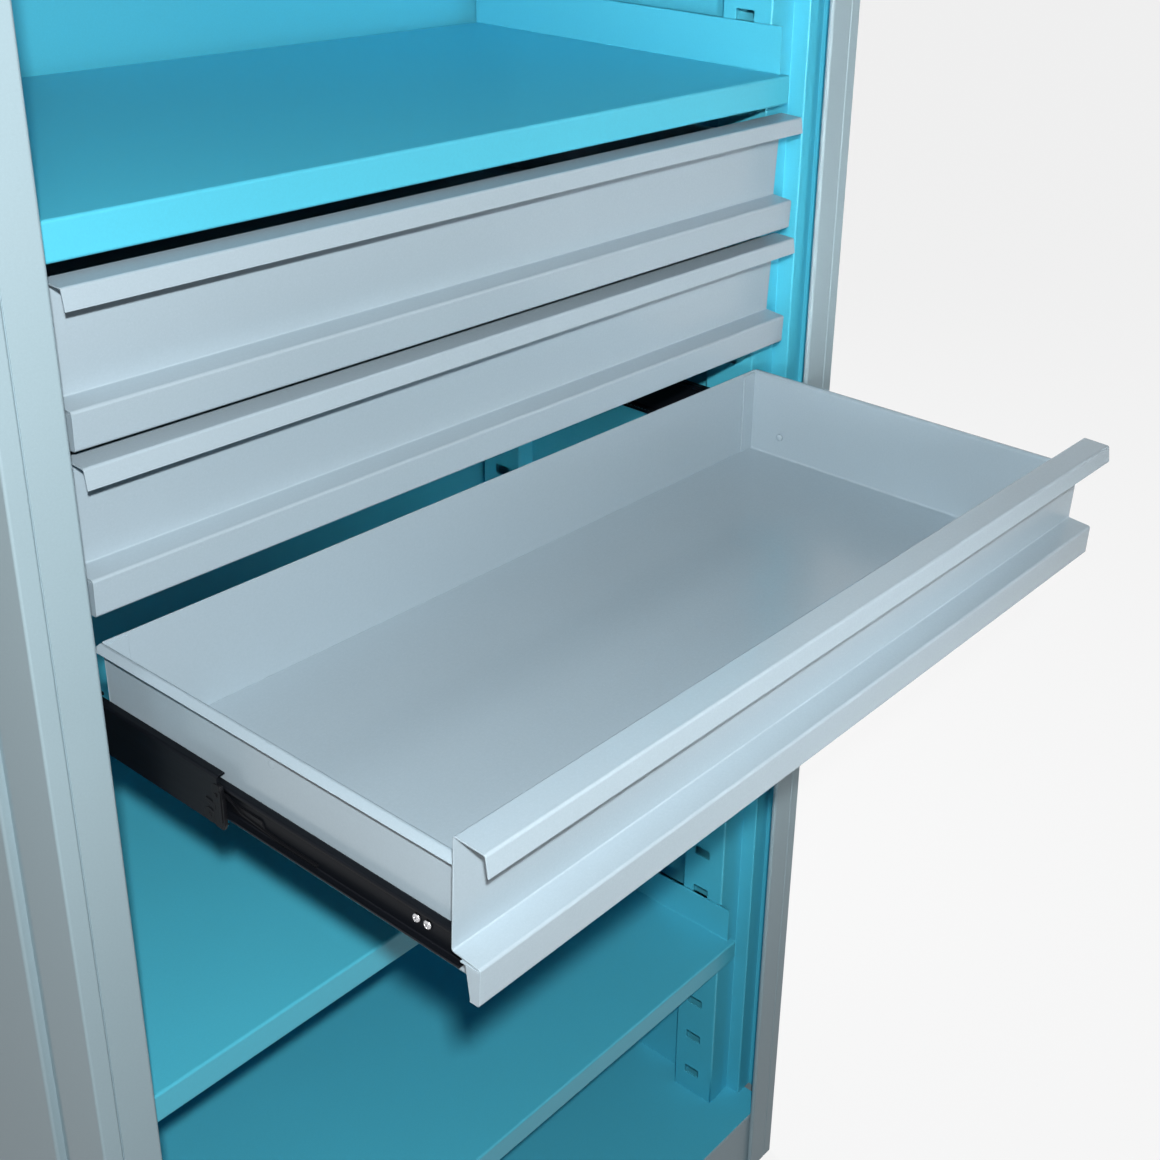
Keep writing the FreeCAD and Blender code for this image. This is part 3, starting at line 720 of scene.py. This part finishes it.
def rows(name, template, material, places, weld=0.0):
    """One bmesh with a row of the template for each (count, start, step, turn) of places."""
    whole = bmesh.new()
    tree = bpy.data.node_groups.get(ROW) or row_tree()
    for count, start, step, turn in places:
        holder = bpy.data.objects.new(name, bpy.data.meshes.new(name))
        bpy.context.scene.collection.objects.link(holder)
        modifier = holder.modifiers.new(ROW, "NODES")
        modifier.node_group = tree
        given_inputs(modifier, {"Piece": template, "Count": count, "Start": start, "Step": step,
                                "Turn": turn, "Weld": weld, "Material": material})
        baked(holder)
        whole.from_mesh(holder.data)
        dropped(holder)
    return whole


def dropped(piece):
    """Takes a helper object and its mesh out of the scene."""
    mesh = piece.data
    bpy.data.objects.remove(piece)
    bpy.data.meshes.remove(mesh)


# Operators

class CABINET_OT_finishes(bpy.types.Operator):
    """Mix the paints and metals"""
    bl_idname = "cabinet.finishes"
    bl_label = "Finishes"

    def execute(self, context):
        FINISH.update(finishes(context.scene.cabinet_colours))
        for node, thing in frame["nodes"].items():
            thing.data.materials.clear()
            thing.data.materials.append(FINISH[SLOT_OF[node]])
        return {"FINISHED"}


class CABINET_OT_sheets(bpy.types.Operator):
    """Round the folds and edges of the carcass and shelves"""
    bl_idname = "cabinet.sheets"
    bl_label = "Sheet Pieces"

    def execute(self, context):
        edges = context.scene.cabinet_edges
        for node in frame["nodes"]:
            if SLOT_OF[node] in ("outer_paint", "inner_paint") and "upright" not in node:
                sheet_piece(node, context.scene.cabinet_front.sheet, edges)
        return {"FINISHED"}


class CABINET_OT_uprights(bpy.types.Operator):
    """Stack the slotted uprights from one length of strip with a slot"""
    bl_idname = "cabinet.uprights"
    bl_label = "Slotted Uprights"

    def execute(self, context):
        uprights, edges = context.scene.cabinet_uprights, context.scene.cabinet_edges
        for end in ("front", "rear"):
            for side in SIDES:
                node = f"{end}_upright_{side}"
                low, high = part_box(node)
                module = self.module(node, end, uprights, edges)
                place = (uprights.count, (0, 0, uprights.first), (0, 0, uprights.pitch), (0, 0, 0))
                stack = rows(node, module, FINISH[SLOT_OF[node]], [place], 0.01 * MM)
                dropped(module)
                self.close(stack, low.z, high.z)
                piece = smoothed(made_piece(stack, node + "_sheet", FINISH[SLOT_OF[node]]))
                settled(piece, BODY_OF[node], [node])
        return {"FINISHED"}

    def module(self, node, end, uprights, edges):
        """One slot's height of the upright, open above and below."""
        low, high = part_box(node)
        half = uprights.sheet / 2
        side = math.copysign(1, low.x)
        web, reach = (low.x, high.x) if side > 0 else (high.x, low.x)
        web += side * half
        outer, way = (low.y, 1) if end == "front" else (high.y, -1)
        inner = (high.y if way > 0 else low.y) - way * half
        corners = [(reach, outer + way * half), (web, outer + way * half), (web, inner), (reach, inner)]
        rise = uprights.pitch / 2
        shape = bent_strip(corners, uprights.sheet, uprights.bend, -rise, rise, lambda x, y, z: (x, y, z), 3)
        bmesh.ops.delete(shape, geom=[face for face in shape.faces if len(face.verts) > 4],
                         context="FACES_ONLY")
        weight = shape.edges.layers.float["bevel_weight_edge"]
        for edge in shape.edges:
            if edge.is_boundary:
                edge[weight] = 0
        webs = sorted(shape.faces, key=lambda face: face.calc_area())[-2:]
        middle = outer + way * uprights.setback
        long, tall = uprights.slot_length / 2, uprights.slot_height / 2
        outline = softened([(middle - long, -tall), (middle + long, -tall), (middle + long, tall),
                            (middle - long, tall)], edges.slot_corner)
        loops = [self.pierced(shape, face, outline) for face in webs]
        count = len(outline)
        for step in range(count):
            after = (step + 1) % count
            shape.faces.new((loops[0][step], loops[0][after], loops[1][after], loops[1][step]))
            for loop in loops:
                shape.edges.get((loop[step], loop[after]))[weight] = 1
        bmesh.ops.recalc_face_normals(shape, faces=shape.faces)
        return rounded(shape, node + "_module", FINISH[SLOT_OF[node]], edges.rim, 2)

    def pierced(self, shape, face, outline):
        """Puts four faces round a slot in place of a web's face, and returns the slot's points."""
        x = face.calc_center_median().x
        corner_steps = len(outline) // 4
        slot = [shape.verts.new((x, y, z)) for y, z in outline]
        y_middle = sum(y for y, z in outline) / len(outline)
        quarter = {(vert.co.y > y_middle, vert.co.z > 0): vert for vert in face.verts}
        around = [quarter[key] for key in ((False, False), (True, False), (True, True), (False, True))]
        bmesh.ops.delete(shape, geom=[face], context="FACES_ONLY")
        for index in range(4):
            first = index * corner_steps + corner_steps // 2
            arc = [slot[(first + step) % len(slot)] for step in range(corner_steps + 1)]
            shape.faces.new([around[index], around[(index + 1) % 4]] + arc[::-1])
        return slot

    def close(self, stack, low, high):
        """Draws the stack's open ends out to the floor and the header, and closes them."""
        rim = [edge for edge in stack.edges if edge.is_boundary]
        for vert in {vert for edge in rim for vert in edge.verts}:
            vert.co.z = low if vert.co.z < (low + high) / 2 else high
        bmesh.ops.edgeloop_fill(stack, edges=rim)
        bmesh.ops.recalc_face_normals(stack, faces=stack.faces)


class CABINET_OT_fronts(bpy.types.Operator):
    """Fold the drawers' fronts, with their pull lips and end tabs"""
    bl_idname = "cabinet.fronts"
    bl_label = "Drawer Fronts"

    def execute(self, context):
        front, edges = context.scene.cabinet_front, context.scene.cabinet_edges
        for number in DRAWERS:
            node = f"drawer_{number}_front"
            shape = self.front(node, front)
            piece = rounded(shape, node + "_sheet", FINISH[SLOT_OF[node]], edges.rim, edges.steps)
            settled(piece, BODY_OF[node], [node])
        return {"FINISHED"}

    def front(self, node, front):
        low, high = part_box(node)
        half = front.sheet / 2
        face_y, top = high.y - front.lean, high.z
        skirt_y = front.sheet + front.lean - front.ledge
        ledge_z = -front.face - front.ledge_fall
        foot_z = ledge_z - front.skirt + half
        corners = [
            (half - front.flange - front.lip_kick, -front.lip),
            (half - front.flange, -front.flange_fall - half),
            (-half, -half),
            (front.lean - half, -front.face - half),
            (skirt_y - half, ledge_z - half),
            (skirt_y - half + front.skirt_tuck, foot_z),
            (skirt_y - half + front.hem, foot_z),
        ]

        def place(y, z, x):
            return x, face_y + y, top + z

        shapes = [bent_strip(corners, front.sheet, front.bend, low.x, high.x, place)]
        tab_z = ledge_z - front.tab_gap
        tab_top = tab_z - front.sheet
        behind = skirt_y - half
        tab = [(behind, tab_top), (skirt_y + front.tab_top, tab_top),
               (skirt_y + front.tab_foot, foot_z), (behind + front.skirt_tuck, foot_z)]
        flange = [(behind, tab_z), (skirt_y + front.tab_reach, tab_z),
                  (skirt_y + front.tab_reach, tab_top), (behind, tab_top)]
        for end, way in ((high.x, -1), (low.x, 1)):
            shapes.append(flat_plate(tab, end, end + way * front.sheet, place))
            shapes.append(flat_plate(flange, end, end + way * front.tab_flange, place))
        return joined(shapes)


class CABINET_OT_boxes(bpy.types.Operator):
    """Fold the drawers' boxes, with their rims and welded back walls"""
    bl_idname = "cabinet.boxes"
    bl_label = "Drawer Boxes"

    def execute(self, context):
        front, edges = context.scene.cabinet_front, context.scene.cabinet_edges
        for number in DRAWERS:
            node = f"drawer_{number}_box"
            shape = self.box(number, node, front, context.scene.cabinet_box)
            piece = rounded(shape, node + "_sheet", FINISH[SLOT_OF[node]], edges.rim, edges.steps)
            settled(piece, BODY_OF[node], [node])
        return {"FINISHED"}

    def box(self, number, node, front, box):
        low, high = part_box(node)
        folded_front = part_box(f"drawer_{number}_front")[1]
        half = front.sheet / 2
        rear, floor = high.y - front.sheet, low.z + half
        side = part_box(f"drawer_{number}_runner_right")[0].x - half
        turn = math.pi / 2 + math.atan2(box.rim_fall, high.x - side)
        rim = high.z - half + (box.rim_bend + half) * (math.tan(turn / 2) - 1)
        edge = rim - box.rim_fall

        def face(z):
            """Where the leaning front stands at this height."""
            return folded_front.y - front.lean + (folded_front.z - z) * front.lean / front.face

        def along(a, b, x):
            return x, a, b

        def across(a, b, y):
            return a, y, b

        corners = [(-high.x, edge), (-side, rim), (-side, floor), (side, floor), (side, rim), (high.x, edge)]
        bends = [box.rim_bend, box.floor_bend, box.floor_bend, box.rim_bend]
        trough = bent_strip(corners, front.sheet, bends, 0, 1,
                            lambda x, z, back: (x, rear if back else face(z), z))
        wall = [(face(high.z), high.z), (face(high.z) + front.sheet, high.z),
                (face(floor) + front.sheet, floor), (face(floor), floor)]
        outer = side + half
        back = [(-outer, low.z), (outer, low.z), (outer, high.z), (-outer, high.z)]
        shapes = [trough, flat_plate(wall, -side, side, along), flat_plate(back, rear, high.y, across)]
        tab_top = high.z - front.sheet - front.bend
        for way in (1, -1):
            tab = [(way * side, floor), (way * (side - box.tab), floor),
                   (way * (side - box.tab), tab_top), (way * side, tab_top)]
            shapes.append(flat_plate(tab, rear - front.sheet, rear, across))
        return joined(shapes)


class CABINET_OT_slides(bpy.types.Operator):
    """Roll the slides' rails, middle members and runners"""
    bl_idname = "cabinet.slides"
    bl_label = "Slides"

    def execute(self, context):
        slides, edges = context.scene.cabinet_slides, context.scene.cabinet_edges
        for number in DRAWERS:
            for side in SIDES:
                self.member(f"drawer_{number}_rail_{side}", slides.rail_sheet, slides.rail_bend,
                            slides.rail_lip, 1, edges)
                self.member(f"drawer_{number}_middle_{side}", slides.sheet, slides.middle_bend,
                            0, 1, edges)
                self.member(f"drawer_{number}_runner_{side}", slides.sheet, slides.middle_bend,
                            slides.runner_lip, -1, edges)
        return {"FINISHED"}

    def member(self, node, sheet, bend, lip, open_way, edges):
        """A channel, with turned-in lips if they have a height, open to the drawer where open_way is 1."""
        low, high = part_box(node)
        side = math.copysign(1, low.x)
        half = sheet / 2
        web, mouth = (high.x, low.x) if side * open_way > 0 else (low.x, high.x)
        web += half * math.copysign(1, mouth - web)
        top, bottom = high.z - half, low.z + half
        if lip:
            mouth -= half * math.copysign(1, mouth - web)
        corners = [(mouth, top), (web, top), (web, bottom), (mouth, bottom)]
        if lip:
            corners = [(mouth, high.z - lip), *corners, (mouth, low.z + lip)]
        shape = bent_strip(corners, sheet, bend, low.y, high.y, lambda x, z, y: (x, y, z))
        piece = rounded(shape, node + "_strip", FINISH[SLOT_OF[node]], edges.rim * 0.6, 2)
        settled(piece, BODY_OF[node], [node])


class CABINET_OT_stops(bpy.types.Operator):
    """Mould the stops on the middle members and the runners' release levers"""
    bl_idname = "cabinet.stops"
    bl_label = "Moulded Stops"

    def execute(self, context):
        slides = context.scene.cabinet_slides
        for number in DRAWERS:
            stops, levers = [], []
            for side, way in SIDES.items():
                stops += self.stop(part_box(f"drawer_{number}_middle_{side}"), way, slides)
                levers += self.lever(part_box(f"drawer_{number}_runner_{side}"), way, slides)
            body = BODY_OF[f"drawer_{number}_middle_caps"]
            piece = rounded(joined(stops), f"drawer_{number}_stops", FINISH["stop_plastic"], 0.3 * MM, 3)
            settled(piece, body, [f"drawer_{number}_middle_caps"])
            piece = rounded(joined(levers), f"drawer_{number}_levers", FINISH["stop_plastic"], 0.3 * MM, 3)
            settled(piece, BODY_OF[f"drawer_{number}_box"])
        return {"FINISHED"}

    def stop(self, box, way, slides):
        """A shoe over the member's front end, with a rib, a catch, a pin and a round boss."""
        low, high = box
        web = max(abs(low.x), abs(high.x))
        skin = slides.stop_skin
        front, z, half = low.y - slides.stop_front, (low.z + high.z) / 2, (high.z - low.z) / 2

        def place(y, up, x):
            return way * x, front + y, z + up

        foot, top = slides.stop_low - half, half - slides.stop_top
        shoe = [(1 * MM, top - 3 * MM), (1 * MM, 5 * MM), (0, 4 * MM), (0, foot + 5 * MM), (2 * MM, foot),
                (10 * MM, foot), (12 * MM, foot + 2 * MM), (12 * MM, top - 2 * MM), (9 * MM, top), (4 * MM, top)]
        rib = [(2 * MM, -15 * MM), (4.6 * MM, -15 * MM), (4.6 * MM, 11 * MM), (2 * MM, 11 * MM)]
        catch = [(9 * MM, -7 * MM), (slides.stop_length, -3 * MM), (slides.stop_length, 0), (9 * MM, -2 * MM)]
        inner = web - slides.sheet - skin
        shapes = [flat_plate(softened(shoe, 1 * MM), inner, web + skin * 0.6, place),
                  flat_plate(softened(rib, 1 * MM), web, web + skin * 1.2, place),
                  flat_plate(softened(catch, 1 * MM), web - slides.sheet, web + skin * 0.9, place)]
        for y, up, reach, rise in ((8, 6, 1.7, 1.3), (17, -14, 6, 0.7), (17, -14, 2, 1.2)):
            ring = [(y * MM + reach * MM * math.cos(turn), up * MM + reach * MM * math.sin(turn))
                    for turn in (2 * math.pi * step / 24 for step in range(24))]
            shapes.append(flat_plate(ring, web, web + skin * rise, place))
        return shapes

    def lever(self, box, way, slides):
        """A slim bowed strip in the runner's channel, with a thumb pad at its rear end."""
        low, high = box
        back = min(abs(low.x), abs(high.x)) + slides.sheet
        rear, z = high.y, (low.z + high.z) / 2

        def place(y, up, x):
            return way * x, rear - y, z + up

        strip = [(112 * MM, 1 * MM), (140 * MM, 1 * MM), (156 * MM, -5 * MM), (196 * MM, -9 * MM),
                 (236 * MM, -9 * MM)]
        pad = [(147 * MM, -8 * MM), (182 * MM, -8 * MM), (178 * MM, -1 * MM), (147 * MM, -1 * MM)]
        return [bent_strip(strip, 1.6 * MM, 6 * MM, back, back + 2.4 * MM, place),
                flat_plate(softened(pad, 2 * MM), back, back + 1.4 * MM, place)]


class CABINET_OT_cages(bpy.types.Operator):
    """Fill the slides' races with caged balls"""
    bl_idname = "cabinet.cages"
    bl_label = "Ball Cages"

    def execute(self, context):
        slides = context.scene.cabinet_slides
        for number in DRAWERS:
            node = f"drawer_{number}_ball_cages"
            shapes = [row for side, way in SIDES.items() for row in self.races(number, side, way, slides)]
            piece = made_piece(joined(shapes), f"drawer_{number}_balls", FINISH["bearing_steel"])
            settled(smoothed(piece), BODY_OF[node], [node])
        return {"FINISHED"}

    def races(self, number, side, way, slides):
        """Rows of cage cells for the four races of one slide."""
        rail, middle, runner = (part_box(f"drawer_{number}_{part}_{side}") for part in ("rail", "middle", "runner"))
        z = (middle[0].z + middle[1].z) / 2
        race = (middle[1].z - middle[0].z) / 2
        outer = (rail[1].z - rail[0].z) / 2 - slides.rail_sheet - race
        inner = race - slides.sheet - (runner[1].z - runner[0].z) / 2
        centre, web = (middle[0].x + middle[1].x) / 2, max(middle[0].x * way, middle[1].x * way)
        play = slides.ball_play / 2
        made = []
        for gap, (length, end), outside in ((outer, slides.outer_cage, True), (inner, slides.inner_cage, False)):
            reach = gap / 2 - play
            pitch = 2 * reach + slides.ball_gap
            count = int(length / pitch)
            if outside:
                start, level = middle[1].y - end - length + pitch / 2, 0
                height, depth = race + reach, centre - way * play
            else:
                start, level = middle[0].y + end + pitch / 2, -slides.cage_level
                height, depth = race - slides.sheet - reach, way * (web - slides.sheet - play - reach)
            cell = self.cell(reach, pitch, level, slides)
            places = [(count, (depth, start, z + up * height), (0, pitch, 0), (0, turn, 0))
                      for up, turn in ((1, 0), (-1, math.pi))]
            made.append(rows("race", cell, FINISH["bearing_steel"], places, 0.005 * MM))
            dropped(cell)
        return made

    def cell(self, reach, pitch, level, slides):
        """A ball in its piece of the cage, which runs along Y at this share of the ball's radius."""
        shape = bmesh.new()
        bmesh.ops.create_uvsphere(shape, u_segments=12, v_segments=8, radius=reach)
        round_reach, rise = reach * math.sqrt(1 - level * level), slides.cage_sheet / 2
        hole, wide, long = round_reach * 1.03, round_reach + slides.cage_spare / 2, pitch / 2
        square = [(wide, 0), (wide, long), (0, long), (-wide, long), (-wide, 0), (-wide, -long), (0, -long),
                  (wide, -long)]
        rings = []
        for z in (level * reach - rise, level * reach + rise):
            rings.append([shape.verts.new((x, y, z)) for x, y in square])
            rings.append([shape.verts.new((hole * math.cos(turn), hole * math.sin(turn), z))
                          for turn in (math.pi * step / 4 for step in range(8))])
        low_out, low_in, high_out, high_in = rings
        sides = {0, 3, 4, 7}
        for step in range(8):
            after = (step + 1) % 8
            shape.faces.new((low_in[step], low_in[after], low_out[after], low_out[step]))
            shape.faces.new((high_out[step], high_out[after], high_in[after], high_in[step]))
            shape.faces.new((high_in[step], high_in[after], low_in[after], low_in[step]))
            if step in sides:
                shape.faces.new((low_out[step], low_out[after], high_out[after], high_out[step]))
        return made_piece(shape, "cage_cell", FINISH["bearing_steel"])


class CABINET_OT_fasteners(bpy.types.Operator):
    """Stand the rows of screws, rivets and weld marks"""
    bl_idname = "cabinet.fasteners"
    bl_label = "Fasteners"

    def execute(self, context):
        sizes = context.scene.cabinet_fasteners
        screw = self.screw(sizes)
        rivet = self.dome("rivet", sizes.rivet_head, sizes.rivet_head * 0.34, sizes.round_steps)
        weld = self.dome("weld", sizes.weld, 0.16 * MM, sizes.round_steps)
        for number in DRAWERS:
            self.drawer(number, screw, rivet, weld)
        self.carcass(rivet)
        for template in (screw, rivet, weld):
            dropped(template)
        return {"FINISHED"}

    def dome(self, name, across, height, steps):
        """A low round head standing on the XY plane."""
        r = across / 2
        profile = [(0, 0), (r, 0), (r * 0.96, height * 0.4), (r * 0.78, height * 0.78),
                   (r * 0.45, height * 0.96), (0, height)]
        return made_piece(turned_round(profile, steps), name, FINISH["drawer_paint"])

    def screw(self, sizes):
        """A pan head with a crossed recess."""
        r, height, steps = sizes.screw_head / 2, sizes.screw_head * 0.3, 24
        cross = {0: 0.5, 1: 0.5, 2: 0.2, 3: 0.15, 4: 0.2, 5: 0.5}
        arms = [r * cross[step % 6] for step in range(steps)]
        foot = [arm * 0.8 for arm in arms]
        profile = [(0, 0), (r, 0), (r, height * 0.4), (r * 0.92, height * 0.75), (r * 0.72, height * 0.96),
                   (r * 0.56, height), (arms, height), (foot, height * 0.4), (0, height * 0.3)]
        return made_piece(turned_round(profile, steps), "screw", FINISH["bearing_steel"])

    def placed(self, name, template, slot, body, places):
        shape = rows(name, template, FINISH[slot], places)
        settled(smoothed(made_piece(shape, name, FINISH[slot])), body)

    def drawer(self, number, screw, rivet, weld):
        """Screws in the runners, rivet heads inside the box and weld marks on its walls."""
        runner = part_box(f"drawer_{number}_runner_right")
        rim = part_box(f"drawer_{number}_box")[1].z
        front, z = runner[0].y, (runner[0].z + runner[1].z) / 2
        wall = runner[0].x
        quarter = math.pi / 2
        screws, rivets, welds = [], [], []
        for way in SIDES.values():
            outward, inward = (0, way * quarter, 0), (0, -way * quarter, 0)
            screws.append((2, (way * (wall + 1.2 * MM), front + 31.4 * MM, z), (0, 10 * MM, 0), outward))
            inside = way * (wall - 1.2 * MM)
            rivets.append((1, (inside, front + 330.4 * MM, z), (0, 0, 0), inward))
            rivets.append((2, (inside, front + 31.4 * MM, z), (0, 10 * MM, 0), inward))
            welds.append((1, (way * wall, front + 181 * MM, rim - 19.5 * MM), (0, 0, 0), outward))
        body = BODY_OF[f"drawer_{number}_box"]
        self.placed(f"drawer_{number}_screws", screw, "bearing_steel", body, screws)
        self.placed(f"drawer_{number}_rivets", rivet, "drawer_paint", body, rivets)
        self.placed(f"drawer_{number}_welds", weld, "drawer_paint", body, welds)

    def carcass(self, rivet):
        """Rivets down the side panels' rear folds."""
        low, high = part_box("side_panel_right")
        back = (math.pi / 2, 0, math.pi)
        count = 12
        step = (high.z - low.z - 90 * MM) / (count - 1)
        places = [(count, (way * (high.x - 10.5 * MM), high.y, low.z + 45 * MM), (0, 0, step), back)
                  for way in SIDES.values()]
        self.placed("back_rivets", rivet, "outer_paint", "carcass", places)


class CABINET_OT_studio(bpy.types.Operator):
    """Set the floor, lamps and camera"""
    bl_idname = "cabinet.studio"
    bl_label = "Studio"

    def execute(self, context):
        studio = context.scene.cabinet_studio
        self.camera(context, studio)
        self.floor()
        self.light(context, studio)
        context.scene.view_settings.view_transform = "Standard"
        return {"FINISHED"}

    def camera(self, context, studio):
        data = bpy.data.cameras.new("photo_camera")
        data.sensor_width = 36
        data.lens = studio.lens
        data.shift_x, data.shift_y = studio.shift
        data.clip_start, data.clip_end = 0.05, 60
        eye = bpy.data.objects.new("photo_camera", data)
        eye.location = studio.eye
        eye.rotation_euler = studio.turn
        context.scene.collection.objects.link(eye)
        context.scene.camera = eye

    def floor(self):
        half = 14
        shape = bmesh.new()
        corners = [shape.verts.new((x * half, y * half, 0)) for x, y in ((-1, -1), (1, -1), (1, 1), (-1, 1))]
        shape.faces.new(corners)
        floor = made_piece(shape, "studio_floor", self.floor_finish())

    def floor_finish(self):
        """Pale matt floor that the camera and reflections see nearly white."""
        pale = Finish("studio_floor")
        path = pale.node("ShaderNodeLightPath").outputs
        seen = Amount(pale, path["Is Camera Ray"]) + Amount(pale, path["Is Glossy Ray"])
        seen = (seen + Amount(pale, path["Is Transmission Ray"])).over(0, 1)
        matt = pale.node("ShaderNodeBsdfDiffuse", {}, {"Color": seen * 0.5 + 0.25}).outputs[0]
        glow = pale.node("ShaderNodeEmission", {}, {"Color": (1, 1, 1, 1)}).outputs[0]
        both = pale.node("ShaderNodeMixShader", {}, {0: seen * 0.86, 1: matt, 2: glow}).outputs[0]
        pale.node("ShaderNodeOutputMaterial", {}, {"Surface": both})
        return pale.material

    def lamp(self, context, name, place, aim, size, power):
        data = bpy.data.lights.new(name, "AREA")
        data.shape = "SQUARE"
        data.size = size
        data.energy = power
        stand = bpy.data.objects.new(name, data)
        stand.location = place
        stand.rotation_euler = (Vector(aim) - stand.location).to_track_quat("-Z", "Y").to_euler()
        context.scene.collection.objects.link(stand)
        return data

    def light(self, context, studio):
        self.lamp(context, "soft_lamp", (-0.985, -1.235, 1.936), (0.0, -0.25, 1.05), studio.key_size,
                  studio.key_power)
        self.lamp(context, "rear_lamp", (1.5, 2.6, 2.1), (0.0, 0.1, 1.0), 1.0,
                  studio.rear_power)
        self.lamp(context, "top_lamp", (0.0, 0.9, 3.2), (0.0, 0.05, 1.9), 1.0, studio.top_power)
        tall = self.lamp(context, "side_lamp", (-1.2, -1.9, 1.35), (0.5, -0.23, 1.3), 0.3,
                         studio.side_power)
        tall.shape = "RECTANGLE"
        tall.size_y = 1.2
        tall.spread = studio.side_spread
        world = bpy.data.worlds.new("studio_surround")
        context.scene.world = world
        world.use_nodes = True
        nodes, links = world.node_tree.nodes, world.node_tree.links
        nodes.clear()
        path = nodes.new("ShaderNodeLightPath")
        soft = nodes.new("ShaderNodeBackground")
        soft.inputs["Color"].default_value = (0.80, 0.86, 1.0, 1)
        soft.inputs["Strength"].default_value = studio.surround
        white = nodes.new("ShaderNodeBackground")
        white.inputs["Color"].default_value = (1, 1, 1, 1)
        both = nodes.new("ShaderNodeMixShader")
        out = nodes.new("ShaderNodeOutputWorld")
        share = path.outputs["Is Camera Ray"]
        for ray in ("Is Glossy Ray", "Is Transmission Ray"):
            adding = nodes.new("ShaderNodeMath")
            links.new(share, adding.inputs[0])
            links.new(path.outputs[ray], adding.inputs[1])
            share = adding.outputs[0]
        links.new(share, both.inputs[0])
        links.new(soft.outputs[0], both.inputs[1])
        links.new(white.outputs[0], both.inputs[2])
        links.new(both.outputs[0], out.inputs["Surface"])


class CABINET_PT_panel(bpy.types.Panel):
    """The cabinet's groups of pieces, in the order that they are made"""
    bl_idname = "CABINET_PT_panel"
    bl_label = "Tool Cabinet"
    bl_space_type = "VIEW_3D"
    bl_region_type = "UI"
    bl_category = "Cabinet"

    def draw(self, context):
        for operator in STEPS:
            self.layout.operator(operator.bl_idname)
        for group in GROUPS:
            settings = getattr(context.scene, group)
            for name in settings.bl_rna.properties.keys():
                if name not in ("rna_type", "name"):
                    self.layout.prop(settings, name)


STEPS = (CABINET_OT_finishes, CABINET_OT_sheets, CABINET_OT_uprights, CABINET_OT_fronts, CABINET_OT_boxes,
         CABINET_OT_slides, CABINET_OT_stops, CABINET_OT_cages, CABINET_OT_fasteners, CABINET_OT_studio)
GROUPS = {
    "cabinet_edges": CabinetEdges,
    "cabinet_front": CabinetFront,
    "cabinet_box": CabinetBox,
    "cabinet_uprights": CabinetUprights,
    "cabinet_colours": CabinetColours,
    "cabinet_slides": CabinetSlides,
    "cabinet_fasteners": CabinetFasteners,
    "cabinet_studio": CabinetStudio,
}


def register():
    for group, kind in GROUPS.items():
        bpy.utils.register_class(kind)
        setattr(bpy.types.Scene, group, PointerProperty(type=kind))
    for kind in (*STEPS, CABINET_PT_panel):
        bpy.utils.register_class(kind)


def unregister():
    for kind in (CABINET_PT_panel, *reversed(STEPS)):
        bpy.utils.unregister_class(kind)
    for group, kind in GROUPS.items():
        delattr(bpy.types.Scene, group)
        bpy.utils.unregister_class(kind)


def main():
    register()
    for step in STEPS:
        group, name = step.bl_idname.split(".")
        getattr(getattr(bpy.ops, group), name)()


if __name__ == "__main__":
    main()
